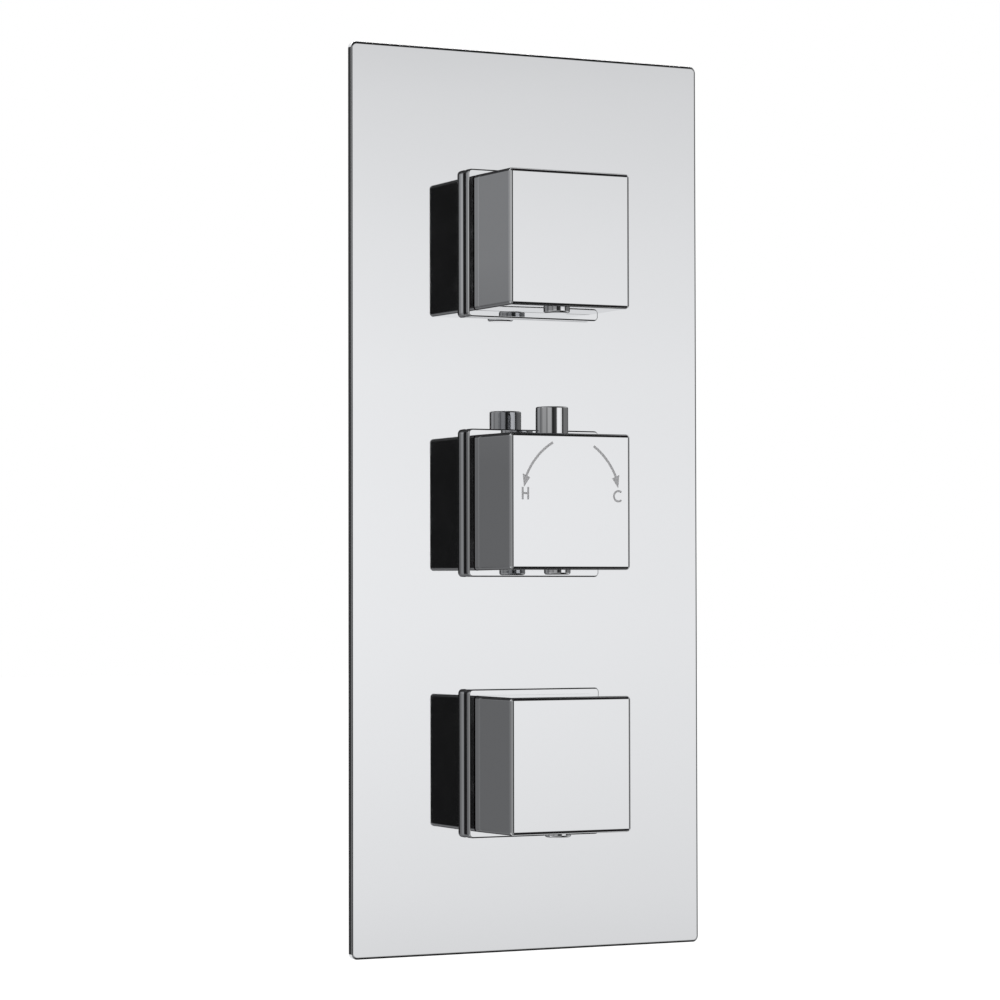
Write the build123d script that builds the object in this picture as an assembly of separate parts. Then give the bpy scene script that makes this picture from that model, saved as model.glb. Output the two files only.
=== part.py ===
from build123d import *
import os
from math import cos, radians, sin

# Concealed thermostatic shower valve with three square handles, in millimetres.
# X runs to the right as seen from the front, Z is up and Y runs into the wall.
# The finished wall is the plane Y = 0 and the middle handle's axis is the Y axis.

# Face plate: pressed metal, with a rim that meets the wall all round
plate_height = 310.0
plate_width = 135.0
plate_thickness = 2.5
plate_corner = 2.0
plate_edge = 0.3
plate_lift = 0.9
plate_rim = 3.0
gasket_thickness = 1.2
gasket_gap = 0.5
gasket_cutout_gap = 2.0

# Square collars round the towers, and the nuts under them
collar_size = 50.7
collar_thickness = 4.3
collar_corner = 3.0
collar_edge = 0.4
collar_web = 1.4
collar_wall = 1.7
nut_flats = 44.0
nut_thickness = 1.8

# Cube handles
handle_pitch = 89.1
handle_size = 46.2
handle_depth = 26.2
handle_gap = 0.5
handle_wall = 3.0
handle_front_wall = 3.2
handle_edge = 0.5
cavity_corner = 2.5
hub_size = 14.0
flow_hub_length = 16.5
temperature_hub_length = 14.5
bore_floor = 1.5
cap_setback = 20.8
cap_radius = 5.0
cap_proud = 1.6
cap_shank = 4.5
grub_radius = 2.0
grub_length = 8.0
grub_socket_flats = 2.0
grub_socket_depth = 3.0
screw_boss_margin = 1.5

# Override button on the temperature handle, and the catch spring under it
button_setback = 17.2
button_radius = 5.6
button_proud = 9.5
button_travel = 3.0
button_chamfer = 0.4
button_flange_radius = 6.3
button_flange_thickness = 2.0
button_guide_wall = 1.0
button_shoulder_depth = 3.7
catch_width = 5.0
catch_strip = 0.6
catch_foot = 4.5
catch_nose_drop = 1.6
catch_nose_setback = 7.4

# Fits: a shaft in its bore, a thread in its thread, and parts that pass without touching
running_gap = 0.06
thread_gap = 0.05
touch_gap = 0.1
pass_gap = 0.4
clear_gap = 0.3

# Valve body casting, narrow enough for the plate to hide it in the photograph's view
tower_radius = 20.0
tower_mouth_radius = 17.0
tower_recess = 0.3
cartridge_shoulder = 8.0
port_depth = 33.0
port_boss_radius = 13.0
port_thread_radius = 9.3
port_thread_length = 12.0
port_flats = 28.0
inlet_neck = 13.0
outlet_neck = 16.9
outlet_bore_radius = 7.5
manifold_depth = 62.0
manifold_radius = 14.0
manifold_bore_radius = 8.0
manifold_overrun = 2.0
flow_seat_depth = 41.0
flow_seat_bore_radius = 5.5
mixing_pocket_depth = 50.0
mixing_outlet_radius = 6.5
inlet_passage_radius = 3.0
inlet_passage_offset = 5.0
inlet_floor = 21.0
casting_rib = 6.0
casting_rib_front = 22.0
bracket_pad_size = 22.0
bracket_pad_height = 16.0
bracket_pad_level = 45.0
plug_radius = 8.6
plug_length = 8.0
plug_head_flats = 17.0
plug_head_height = 5.0

# Flow cartridges: a quarter-turn pair of ceramic discs
bonnet_flats = 24.0
bonnet_head_front = 2.0
bonnet_radius = 10.0
bonnet_end = 40.0
disc_radius = 7.2
disc_gap = 0.1
disc_front = 27.2
disc_thickness = 3.3
disc_hub_radius = 2.4
disc_port_outer = 6.2
disc_port_angle = 80.0
disc_cover_angle = 98.0
disc_film = 0.05
driver_width = 5.0
driver_length = 13.0
driver_bite = 1.0
driver_depth = 4.0
spindle_radius = 4.0
seal_wall = 2.2
window_width = 7.0

# Thermostatic cartridge
cartridge_flats = 27.0
cartridge_radius = 13.0
cartridge_bore = 10.5
cartridge_end = 49.4
cold_seat = 19.0
window_overlap = 1.0
nose_radius = 8.5
nose_front = -12.0
shaft_radius = 5.9
shaft_end = 15.0
temperature_lead = 1.5
plunger_radius = 4.0
plunger_front = -4.0
element_front = 14.5
element_end = 42.5
element_radius = 3.8
shuttle_wall = 1.4
shuttle_lift = 0.9
spider_front = 30.0
spider_thickness = 3.0
spider_width = 11.0
end_ring_front = 44.6
end_ring_bore = 6.5
return_spring_radius = 7.6
return_spring_wire = 1.2
return_spring_turns = 2.5
coil_sides = 12

# Stop ring for the safe temperature
stop_ring_radius = 11.0
stop_ring_thickness = 4.0
stop_arm_thickness = 1.2
stop_arm_width = 4.0
stop_tab_inner = 15.0
stop_tab_outer = 17.6

# Non-return valve in each inlet
check_radius = 7.3
check_length = 11.0

# Mounting bracket: a top-hat section that stands the valve off the batten
bracket_sheet = 2.0
bracket_web_width = 28.0
bracket_height = 150.0
bracket_rise = 10.0
bracket_flange_width = 11.0
bracket_hole_radius = 3.0
bracket_hole_inset = 5.5
bracket_hole_end = 15.0
bracket_screw_radius = 3.0
bracket_screw_length = 10.0
bracket_screw_flats = 10.0
bracket_screw_head = 4.0

# Depths that follow from the sizes above
plate_front = -plate_thickness
collar_front = plate_front - collar_thickness
handle_back = collar_front - handle_gap
handle_front = handle_back - handle_depth
cavity_front = handle_front + handle_front_wall
half_handle = handle_size / 2
half_cavity = half_handle - handle_wall
tower_front = collar_front + tower_recess
cap_depth = plate_front - cap_setback
button_depth = plate_front - button_setback
button_shoulder = half_handle - button_shoulder_depth
flange_top = button_shoulder - touch_gap
flange_bottom = flange_top - button_flange_thickness
guide_bore_radius = button_flange_radius + touch_gap
guide_size = 2 * (guide_bore_radius + button_guide_wall)
guide_bottom = flange_bottom - button_travel
catch_top = flange_bottom - touch_gap
catch_nose_depth = plate_front - catch_nose_setback
disc_bore = disc_radius + disc_gap
disc_back = disc_front + disc_thickness
fixed_front = disc_back + disc_film
fixed_back = fixed_front + disc_thickness
cavity_start = disc_front - driver_depth + driver_bite
manifold_half = handle_pitch + tower_radius + manifold_overrun
inlet_reach = tower_radius + inlet_neck + port_thread_length
outlet_reach = handle_pitch + tower_radius + outlet_neck + port_thread_length
bracket_pad_face = manifold_depth + bracket_pad_height
bracket_front = bracket_pad_face
bracket_back = bracket_front + bracket_rise
shuttle_front = cold_seat + shuttle_lift
shuttle_back = end_ring_front - shuttle_lift
cold_passage_depth = port_depth - inlet_passage_offset
hot_passage_depth = port_depth + inlet_passage_offset

# Ways to stand a turned or extruded piece, drawn along +Z, in the valve
INTO_WALL = Rot(-90, 0, 0)
TO_RIGHT = Rot(0, 90, 0)
TO_LEFT = Rot(0, -90, 0)
UPWARD = Rot(0, 0, 0)
DOWNWARD = Rot(180, 0, 0)

# The places along the column, as node suffix and height of the handle's axis
COLUMN = {"upper": handle_pitch, "middle": 0.0, "lower": -handle_pitch}
FLOW = {"upper": handle_pitch, "lower": -handle_pitch}


def turned(outline, facing=INTO_WALL):
    """A solid of revolution from (radius, distance along the axis) points."""
    corners = [(radius, 0, distance) for radius, distance in outline]
    return facing * revolve(make_face(Polyline(*corners, close=True)), Axis.Z)


def rod(radius, start, end, facing=INTO_WALL):
    """A plain cylinder between two distances along its axis."""
    middle = (start + end) / 2
    return facing * (Pos(0, 0, middle) * Cylinder(radius, abs(end - start)))


def ring(outer, inner, start, end, facing=INTO_WALL):
    """A plain ring between two distances along its axis."""
    return turned([(inner, start), (outer, start), (outer, end), (inner, end)], facing)


def prism(flats, sides, start, end, facing=INTO_WALL):
    """A regular prism, given by its width across flats, with a flat to each side."""
    shape = RegularPolygon(flats / 2, sides, major_radius=False, rotation=180 / sides)
    return facing * (Pos(0, 0, start) * extrude(shape, end - start))


def block(x, y, z):
    """A box from its (low, high) pairs along each axis."""
    centre = [(low + high) / 2 for low, high in (x, y, z)]
    size = [high - low for low, high in (x, y, z)]
    return Pos(*centre) * Box(*size)


def square_plate(width, height, corner, front, back):
    """A plate with rounded corners that faces the front."""
    outline = RectangleRounded(width, height, corner)
    return Pos(0, back, 0) * (Rot(90, 0, 0) * extrude(outline, back - front))


def front_eased(solid, size):
    """Breaks the sharp edges that bound a solid's front face."""
    return chamfer(solid.faces().sort_by(Axis.Y)[0].outer_wire().edges(), size)


def face_plate():
    """The wall plate: flat front, turned-back rim and a hole for each tower."""
    plate = square_plate(plate_width, plate_height, plate_corner, plate_front, 0)
    plate = front_eased(plate, plate_edge)
    inner_width = plate_width - 2 * plate_rim
    inner_height = plate_height - 2 * plate_rim
    plate -= block(
        (-inner_width / 2, inner_width / 2),
        (-gasket_thickness, 0),
        (-inner_height / 2, inner_height / 2),
    )
    plate = Pos(0, 0, plate_lift) * plate
    for level in COLUMN.values():
        plate -= Pos(0, 0, level) * rod(tower_radius + pass_gap, plate_front, 0)
    return plate


def plate_gasket():
    """The foam sheet in the plate's hollow, cut out square round each tower."""
    half_width = plate_width / 2 - plate_rim - gasket_gap
    half_height = plate_height / 2 - plate_rim - gasket_gap
    gasket = block(
        (-half_width, half_width),
        (-gasket_thickness, 0),
        (plate_lift - half_height, plate_lift + half_height),
    )
    cut = tower_radius + gasket_cutout_gap
    for level in COLUMN.values():
        gasket -= block((-cut, cut), (-gasket_thickness, 0), (level - cut, level + cut))
    return gasket


def collar(level):
    """A square collar with a hollow back that hides the ring nut."""
    solid = square_plate(collar_size, collar_size, collar_corner, collar_front, plate_front)
    solid = front_eased(solid, collar_edge)
    hollow = collar_size / 2 - collar_wall
    solid -= block(
        (-hollow, hollow), (collar_front + collar_web, plate_front), (-hollow, hollow)
    )
    solid -= rod(tower_radius + thread_gap, collar_front, plate_front)
    return Pos(0, 0, level) * solid


def plate_ring_nuts():
    """The three eight-sided nuts that clamp the plate on the tower threads."""
    nut = prism(nut_flats, 8, plate_front - nut_thickness, plate_front)
    nut -= rod(tower_radius + thread_gap, plate_front - nut_thickness, plate_front)
    return Compound([Pos(0, 0, level) * nut for level in COLUMN.values()])


def port(facing, reach, root):
    """The outside of one pipe port: a round boss with spanner flats at its mouth."""
    boss = rod(port_boss_radius, root, reach - port_thread_length, facing)
    return boss + prism(port_flats, 8, reach - port_thread_length, reach, facing)


def inlet_bore(facing, passage_depth):
    """The bore of one inlet: thread, valve pocket and the drilled way to the cartridge."""
    thread_start = inlet_reach - port_thread_length
    bore = rod(port_thread_radius, thread_start, inlet_reach, facing)
    bore += rod(check_radius + running_gap, inlet_floor, thread_start, facing)
    bore = Pos(0, port_depth, 0) * bore
    passage = rod(inlet_passage_radius, cartridge_radius, inlet_floor, facing)
    return bore + Pos(0, passage_depth, 0) * passage


def flow_tower_hollow():
    """The inside of a flow tower: mouth, cartridge pocket, seat and its bore."""
    hollow = rod(tower_mouth_radius, tower_front, cartridge_shoulder)
    hollow += rod(bonnet_radius + thread_gap, cartridge_shoulder, flow_seat_depth)
    return hollow + rod(flow_seat_bore_radius, flow_seat_depth, manifold_depth)


def mixing_tower_hollow():
    """The inside of the middle tower: mouth, cartridge pocket and the way to the manifold."""
    hollow = rod(tower_mouth_radius, tower_front, cartridge_shoulder)
    hollow += rod(cartridge_radius + thread_gap, cartridge_shoulder, mixing_pocket_depth)
    return hollow + rod(mixing_outlet_radius, mixing_pocket_depth, manifold_depth)


def valve_body():
    """The brass casting: three towers on a manifold, two inlets and two outlets."""
    body = rod(manifold_radius, -manifold_half, manifold_half, UPWARD)
    body = Pos(0, manifold_depth, 0) * body
    for level in COLUMN.values():
        body += Pos(0, 0, level) * rod(tower_radius, tower_front, manifold_depth)
    body += block(
        (-casting_rib / 2, casting_rib / 2),
        (casting_rib_front, manifold_depth),
        (-handle_pitch, handle_pitch),
    )
    for level in (bracket_pad_level, -bracket_pad_level):
        body += block(
            (-bracket_pad_size / 2, bracket_pad_size / 2),
            (manifold_depth, bracket_pad_face),
            (level - bracket_pad_size / 2, level + bracket_pad_size / 2),
        )
    for facing in (TO_LEFT, TO_RIGHT):
        body += Pos(0, port_depth, 0) * port(facing, inlet_reach, 0)
    for facing in (UPWARD, DOWNWARD):
        body += Pos(0, port_depth, 0) * port(facing, outlet_reach, handle_pitch)
    bore = rod(manifold_bore_radius, -manifold_half, manifold_half, UPWARD)
    for facing in (UPWARD, DOWNWARD):
        bore += rod(plug_radius + thread_gap, manifold_half - plug_length, manifold_half, facing)
    body -= Pos(0, manifold_depth, 0) * bore
    for level in FLOW.values():
        body -= Pos(0, 0, level) * flow_tower_hollow()
    body -= mixing_tower_hollow()
    body -= inlet_bore(TO_LEFT, hot_passage_depth)
    body -= inlet_bore(TO_RIGHT, cold_passage_depth)
    for facing in (UPWARD, DOWNWARD):
        outlet = rod(outlet_bore_radius, handle_pitch, outlet_reach, facing)
        outlet += rod(port_thread_radius, outlet_reach - port_thread_length, outlet_reach, facing)
        body -= Pos(0, port_depth, 0) * outlet
    hole_end = bracket_pad_face - bracket_screw_length - clear_gap
    for level in (bracket_pad_level, -bracket_pad_level):
        hole = rod(bracket_screw_radius + thread_gap, hole_end, bracket_pad_face)
        body -= Pos(0, 0, level) * hole
    return body


def manifold_plugs():
    """The hexagon plugs that close the two ends of the manifold's drilling."""
    plug = rod(plug_radius, manifold_half - plug_length + touch_gap, manifold_half, UPWARD)
    plug += prism(
        plug_head_flats, 6, manifold_half, manifold_half + plug_head_height, UPWARD
    )
    plug = Pos(0, manifold_depth, 0) * plug
    return Compound([plug, mirror(plug, Plane.XY)])


def mounting_bracket():
    """The top-hat steel bracket, with fixing holes in its two flanges."""
    inner = bracket_web_width / 2
    edge = inner + bracket_flange_width
    sheet = bracket_sheet
    right = [
        (inner, bracket_front),
        (inner, bracket_back - sheet),
        (edge, bracket_back - sheet),
        (edge, bracket_back),
        (inner - sheet, bracket_back),
        (inner - sheet, bracket_front + sheet),
    ]
    left = [(-x, y) for x, y in reversed(right)]
    profile = make_face(Polyline(*right, *left, close=True))
    bracket = Pos(0, 0, -bracket_height / 2) * extrude(profile, bracket_height)
    for x in (-edge + bracket_hole_inset, edge - bracket_hole_inset):
        for z in (-1, 1):
            level = z * (bracket_height / 2 - bracket_hole_end)
            hole = rod(bracket_hole_radius, bracket_front, bracket_back)
            bracket -= Pos(x, 0, level) * hole
    for level in (bracket_pad_level, -bracket_pad_level):
        hole = rod(bracket_screw_radius + clear_gap, bracket_front, bracket_front + sheet)
        bracket -= Pos(0, 0, level) * hole
    return bracket


def bracket_screws():
    """Two hexagon screws through the bracket's web into the casting's pads."""
    seat = bracket_front + bracket_sheet
    screw = rod(bracket_screw_radius, bracket_front - bracket_screw_length, seat)
    screw += prism(bracket_screw_flats, 6, seat, seat + bracket_screw_head)
    levels = (bracket_pad_level, -bracket_pad_level)
    return Compound([Pos(0, 0, level) * screw for level in levels])


def flow_bonnet(level):
    """A flow cartridge's brass housing: hexagon head, threaded barrel and water windows."""
    bonnet = prism(bonnet_flats, 6, bonnet_head_front, cartridge_shoulder)
    bonnet += rod(bonnet_radius, cartridge_shoulder, bonnet_end)
    bonnet -= rod(spindle_radius + running_gap, bonnet_head_front, cavity_start)
    bonnet -= rod(disc_bore, cavity_start, bonnet_end)
    bonnet -= block(
        (-window_width / 2, window_width / 2),
        (cavity_start, disc_front),
        (-bonnet_radius, bonnet_radius),
    )
    return Pos(0, 0, level) * bonnet


def sector(radius, angle, start, end):
    """Two opposite sectors of a disc, centred on the X axis, facing along the wall's depth."""
    half = radians(angle / 2)
    reach = 2 * radius
    corner = (reach * cos(half), reach * sin(half))
    wedge = make_face(Polyline((0, 0), corner, (corner[0], -corner[1]), close=True))
    pair = wedge + Rot(0, 0, 180) * wedge
    return INTO_WALL * (Pos(0, 0, start) * extrude(pair & Circle(radius), end - start))


def flow_fixed_disc(level):
    """The ceramic disc that stays put, with two opposite ports."""
    disc = rod(disc_radius, fixed_front, fixed_back)
    ports = sector(disc_port_outer, disc_port_angle, fixed_front, fixed_back)
    disc -= ports - rod(disc_hub_radius, fixed_front, fixed_back)
    return Pos(0, 0, level) * disc


def flow_moving_disc(level):
    """The ceramic disc that turns with the spindle and covers the ports when closed."""
    disc = sector(disc_radius, disc_cover_angle, disc_front, disc_back)
    disc += rod(disc_hub_radius, disc_front, disc_back)
    slot = driver_width / 2 + thread_gap
    disc -= block(
        (-disc_radius, disc_radius), (disc_front, disc_front + driver_bite), (-slot, slot)
    )
    return Pos(0, 0, level) * disc


def flow_seat_seal(level):
    """The rubber seal between the fixed disc and the casting's seat."""
    seal = ring(disc_radius, disc_radius - seal_wall, fixed_back, flow_seat_depth)
    return Pos(0, 0, level) * seal


def flow_spindle(level):
    """The turning stem of a flow cartridge, with the bar that drives the moving disc."""
    driver_front = disc_front + driver_bite - driver_depth
    spindle = rod(spindle_radius, cavity_front + bore_floor + clear_gap, driver_front)
    spindle += block(
        (-driver_length / 2, driver_length / 2),
        (driver_front + touch_gap, disc_front + driver_bite),
        (-driver_width / 2, driver_width / 2),
    )
    spindle += rod(driver_width / 2, driver_front, driver_front + driver_bite)
    return Pos(0, 0, level) * spindle


def thermo_cartridge_body():
    """The thermostatic cartridge's brass body: nose, hexagon, barrel and water windows."""
    body = prism(cartridge_flats, 6, bonnet_head_front, cartridge_shoulder)
    body += rod(cartridge_radius, cartridge_shoulder, cartridge_end)
    body += rod(nose_radius, nose_front, bonnet_head_front)
    body -= turned(
        [
            (0, nose_front),
            (shaft_radius + running_gap, nose_front),
            (shaft_radius + running_gap, cold_seat),
            (cartridge_bore, cold_seat),
            (cartridge_bore, cartridge_end),
            (0, cartridge_end),
        ]
    )
    cold_window = (cold_seat, cold_passage_depth + inlet_passage_radius)
    hot_window = (hot_passage_depth - inlet_passage_radius, end_ring_front + window_overlap)
    half_window = window_width / 2
    body -= block((0, cartridge_radius), cold_window, (-half_window, half_window))
    body -= block((-cartridge_radius, 0), hot_window, (-half_window, half_window))
    return body


def thermo_end_ring():
    """The ring screwed into the barrel's end: the hot seat and the spring's stop."""
    return ring(cartridge_bore - thread_gap, end_ring_bore, end_ring_front, cartridge_end)


def thermo_spindle():
    """The turning stem of the thermostatic cartridge, hollow for the plunger's thread."""
    bore = plunger_radius + running_gap
    return turned(
        [
            (0, cavity_front + bore_floor + clear_gap),
            (spindle_radius, cavity_front + bore_floor + clear_gap),
            (spindle_radius, nose_front),
            (shaft_radius, nose_front),
            (shaft_radius, shaft_end),
            (bore, shaft_end),
            (bore, plunger_front - temperature_lead),
            (0, plunger_front - temperature_lead),
        ]
    )


def regulating_plunger():
    """The plunger that the stem's thread drives against the wax element."""
    return rod(plunger_radius, plunger_front, element_front)


def wax_element():
    """The copper bulb of wax that senses the mixed water."""
    return rod(element_radius, element_front, element_end)


def thermo_shuttle():
    """The sleeve that opens cold as it closes hot, carried on the wax element."""
    outer = cartridge_bore - running_gap
    shuttle = ring(outer, outer - shuttle_wall, shuttle_front, shuttle_back)
    spider = block(
        (-outer, outer),
        (spider_front, spider_front + spider_thickness),
        (-spider_width / 2, spider_width / 2),
    )
    shuttle += spider & rod(outer, spider_front, spider_front + spider_thickness)
    return shuttle - rod(element_radius + thread_gap, spider_front, shuttle_back)


def shuttle_spring():
    """The square-wire coil that pushes the shuttle back to the front."""
    wire = return_spring_wire
    start = spider_front + spider_thickness + touch_gap + wire / 2
    end = end_ring_front - touch_gap - wire / 2
    height = end - start
    steps = int(return_spring_turns * coil_sides)
    points = [
        (
            return_spring_radius * cos(radians(360 * step / coil_sides)),
            return_spring_radius * sin(radians(360 * step / coil_sides)),
            height * step / steps,
        )
        for step in range(steps + 1)
    ]
    coil = Polyline(*points)
    section = Plane(coil @ 0, x_dir=(1, 0, 0), z_dir=coil % 0) * Rectangle(wire, wire)
    spring = sweep(section, path=coil, transition=Transition.RIGHT)
    return INTO_WALL * (Pos(0, 0, start) * spring)


def temperature_stop_ring():
    """The ring on the cartridge's nose, with the tab that the catch meets at the safe mark."""
    back = nose_front + stop_ring_thickness
    stop = ring(stop_ring_radius, nose_radius + thread_gap, nose_front, back)
    side = -catch_width / 2 - clear_gap
    stop += block(
        (side - stop_arm_width, side),
        (back - stop_arm_thickness, back),
        ((nose_radius + stop_ring_radius) / 2, stop_tab_outer),
    )
    stop += block(
        (side - stop_arm_width, side),
        (nose_front, back),
        (stop_tab_inner, stop_tab_outer),
    )
    return stop


def check_valve(facing):
    """A non-return valve, a sealed insert in an inlet."""
    start = inlet_floor + touch_gap
    return Pos(0, port_depth, 0) * rod(check_radius, start, start + check_length, facing)


def handle_blank():
    """A cube handle without its hub: rounded outside, square hollow behind."""
    blank = block(
        (-half_handle, half_handle), (handle_front, handle_back), (-half_handle, half_handle)
    )
    edges = blank.edges().filter_by(Axis.Y) + blank.faces().sort_by(Axis.Y)[0].edges()
    blank = chamfer(edges, handle_edge)
    width = 2 * half_cavity
    return blank - square_plate(width, width, cavity_corner, cavity_front, handle_back)


def handle(hub_length):
    """A cube handle with its square hub and the boss for the screw underneath."""
    half_hub = hub_size / 2
    hub_back = cavity_front + hub_length
    solid = handle_blank()
    solid += block((-half_hub, half_hub), (cavity_front, hub_back), (-half_hub, half_hub))
    half_boss = cap_radius + screw_boss_margin
    solid += block(
        (-half_boss, half_boss),
        (cavity_front, cap_depth + half_boss),
        (-half_cavity, -half_hub),
    )
    bore_front = cavity_front + bore_floor
    solid -= rod(spindle_radius + thread_gap, bore_front, hub_back)
    screw_hole = rod(grub_radius + thread_gap, 0, half_handle, DOWNWARD)
    pocket_floor = half_handle - cap_shank
    screw_hole += rod(cap_radius + thread_gap, pocket_floor, half_handle, DOWNWARD)
    return solid - Pos(0, cap_depth, 0) * screw_hole


def flow_handle(level):
    """The handle of a flow valve."""
    return Pos(0, 0, level) * handle(flow_hub_length)


def temperature_handle():
    """The middle handle, with the square guide that holds the override button."""
    half_guide = guide_size / 2
    guide = block(
        (-half_guide, half_guide),
        (button_depth - half_guide, button_depth + half_guide),
        (guide_bottom, half_cavity),
    )
    solid = handle(temperature_hub_length) + guide
    bore = rod(button_radius + running_gap, guide_bottom, half_handle, UPWARD)
    bore += rod(guide_bore_radius, guide_bottom, button_shoulder, UPWARD)
    solid -= Pos(0, button_depth, 0) * bore
    slot = catch_width / 2 + clear_gap
    return solid - block(
        (-slot, slot),
        (button_depth, button_depth + half_guide),
        (guide_bottom, catch_top + clear_gap),
    )


def override_button():
    """The push button, with the flange that keeps it in the handle."""
    top = half_handle + button_proud
    button = turned(
        [
            (0, flange_bottom),
            (button_flange_radius, flange_bottom),
            (button_flange_radius, flange_top),
            (button_radius, flange_top),
            (button_radius, top - button_chamfer),
            (button_radius - button_chamfer, top),
            (0, top),
        ],
        UPWARD,
    )
    return Pos(0, button_depth, 0) * button


def catch_spring():
    """The bent steel strip that lifts the button and meets the stop tab with its nose."""
    foot = hub_size / 2 + catch_strip / 2
    pad = catch_top - catch_strip / 2
    bend = (pad - foot) / 2
    hub_back = cavity_front + temperature_hub_length
    bend_depth = hub_back - catch_foot
    line = Polyline((hub_back, foot), (bend_depth, foot))
    line += ThreePointArc(
        (bend_depth, foot), (bend_depth - bend, foot + bend), (bend_depth, pad)
    )
    line += Polyline(
        (bend_depth, pad), (catch_nose_depth, pad), (catch_nose_depth, pad - catch_nose_drop)
    )
    strip = trace(line, catch_strip)
    upright = Plane(origin=(-catch_width / 2, 0, 0), x_dir=(0, 1, 0), z_dir=(1, 0, 0))
    return extrude(upright * strip, catch_width)


def grub_screw(level):
    """The socket screw that locks a handle on its spindle."""
    start = spindle_radius
    screw = rod(grub_radius, start, start + grub_length, DOWNWARD)
    socket_start = start + grub_length - grub_socket_depth
    screw -= prism(grub_socket_flats, 6, socket_start, start + grub_length, DOWNWARD)
    return Pos(0, cap_depth, level) * screw


def screw_cap(level):
    """The chrome plug over a handle's screw, proud of the handle's underside."""
    start = half_handle - cap_shank + touch_gap
    cap = rod(cap_radius, start, half_handle + cap_proud, DOWNWARD)
    return Pos(0, cap_depth, level) * cap


def sub_parts():
    """Every node of the valve, by name."""
    nodes = {
        "face_plate": face_plate(),
        "plate_gasket": plate_gasket(),
        "plate_ring_nuts": plate_ring_nuts(),
        "valve_body": valve_body(),
        "manifold_plugs": manifold_plugs(),
        "mounting_bracket": mounting_bracket(),
        "bracket_screws": bracket_screws(),
        "thermo_cartridge_body": thermo_cartridge_body(),
        "thermo_end_ring": thermo_end_ring(),
        "thermo_spindle": thermo_spindle(),
        "regulating_plunger": regulating_plunger(),
        "wax_element": wax_element(),
        "thermo_shuttle": thermo_shuttle(),
        "shuttle_spring": shuttle_spring(),
        "temperature_stop_ring": temperature_stop_ring(),
        "temperature_handle": temperature_handle(),
        "override_button": override_button(),
        "catch_spring": catch_spring(),
        "check_valve_hot": check_valve(TO_LEFT),
        "check_valve_cold": check_valve(TO_RIGHT),
    }
    for place, level in COLUMN.items():
        nodes[f"collar_{place}"] = collar(level)
        nodes[f"grub_screw_{place}"] = grub_screw(level)
        nodes[f"screw_cap_{place}"] = screw_cap(level)
    for place, level in FLOW.items():
        nodes[f"flow_handle_{place}"] = flow_handle(level)
        nodes[f"flow_bonnet_{place}"] = flow_bonnet(level)
        nodes[f"flow_spindle_{place}"] = flow_spindle(level)
        nodes[f"flow_moving_disc_{place}"] = flow_moving_disc(level)
        nodes[f"flow_fixed_disc_{place}"] = flow_fixed_disc(level)
        nodes[f"flow_seat_seal_{place}"] = flow_seat_seal(level)
    return nodes


os.makedirs("parts", exist_ok=True)
for name, shape in sub_parts().items():
    export_step(shape, f"parts/{name}.step")
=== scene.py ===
import logging
import math
from contextlib import contextmanager
from dataclasses import dataclass, field
from enum import Enum
from typing import Callable, Iterator

import bmesh
import bpy
from mathutils import Matrix, Vector


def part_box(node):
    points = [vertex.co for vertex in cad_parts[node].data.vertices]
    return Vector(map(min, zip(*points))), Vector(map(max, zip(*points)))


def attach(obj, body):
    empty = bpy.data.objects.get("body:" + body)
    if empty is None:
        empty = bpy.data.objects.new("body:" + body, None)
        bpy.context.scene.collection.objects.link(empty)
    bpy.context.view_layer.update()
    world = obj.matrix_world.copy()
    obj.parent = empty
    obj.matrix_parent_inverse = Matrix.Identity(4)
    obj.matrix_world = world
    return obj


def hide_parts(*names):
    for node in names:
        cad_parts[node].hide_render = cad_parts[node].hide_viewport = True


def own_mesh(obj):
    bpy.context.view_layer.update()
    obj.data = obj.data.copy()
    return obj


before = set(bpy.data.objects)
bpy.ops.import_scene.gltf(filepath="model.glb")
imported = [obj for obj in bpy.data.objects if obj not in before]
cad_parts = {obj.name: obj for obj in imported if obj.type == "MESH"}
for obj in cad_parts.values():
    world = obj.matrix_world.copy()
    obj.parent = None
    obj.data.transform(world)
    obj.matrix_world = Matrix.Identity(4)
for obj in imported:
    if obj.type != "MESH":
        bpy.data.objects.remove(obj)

log = logging.getLogger("shower_valve")
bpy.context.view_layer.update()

# Shapes are modelled in millimetres and brought to the frame's metres when a piece is finished
MM = 0.001

Tree = bpy.types.NodeTree
Node = bpy.types.Node
Socket = bpy.types.NodeSocket
Piece = bpy.types.Object
Stops = tuple[tuple[float, float], ...]


class Level(Enum):
    """The three handles of the column, by the suffix of their nodes."""

    UPPER = "upper"
    MIDDLE = "middle"
    LOWER = "lower"


FLOW_LEVELS = (Level.UPPER, Level.LOWER)
KNOB_BODY = {
    Level.UPPER: "flow_knob_upper",
    Level.MIDDLE: "temperature_knob",
    Level.LOWER: "flow_knob_lower",
}
HANDLE_NODE = {
    Level.UPPER: "flow_handle_upper",
    Level.MIDDLE: "temperature_handle",
    Level.LOWER: "flow_handle_lower",
}


def linear(code: str) -> tuple[float, float, float, float]:
    """Turns an sRGB hex value into Blender's linear colour.

    Args:
        code: the colour as six hex digits after a hash.

    Returns:
        Red, green, blue and an alpha of one.
    """
    shares = [int(code[i : i + 2], 16) / 255 for i in (1, 3, 5)]
    return (*(s / 12.92 if s <= 0.04045 else ((s + 0.055) / 1.055) ** 2.4 for s in shares), 1.0)


def per_metre(size_mm: float) -> float:
    """The texture scale that gives a noise or cell pattern features of a real size."""
    return 1 / (size_mm * MM)


def wave_scale(pitch_mm: float) -> float:
    """The scale at which a wave texture repeats once in each pitch."""
    return math.pi / (10 * pitch_mm * MM)


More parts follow.
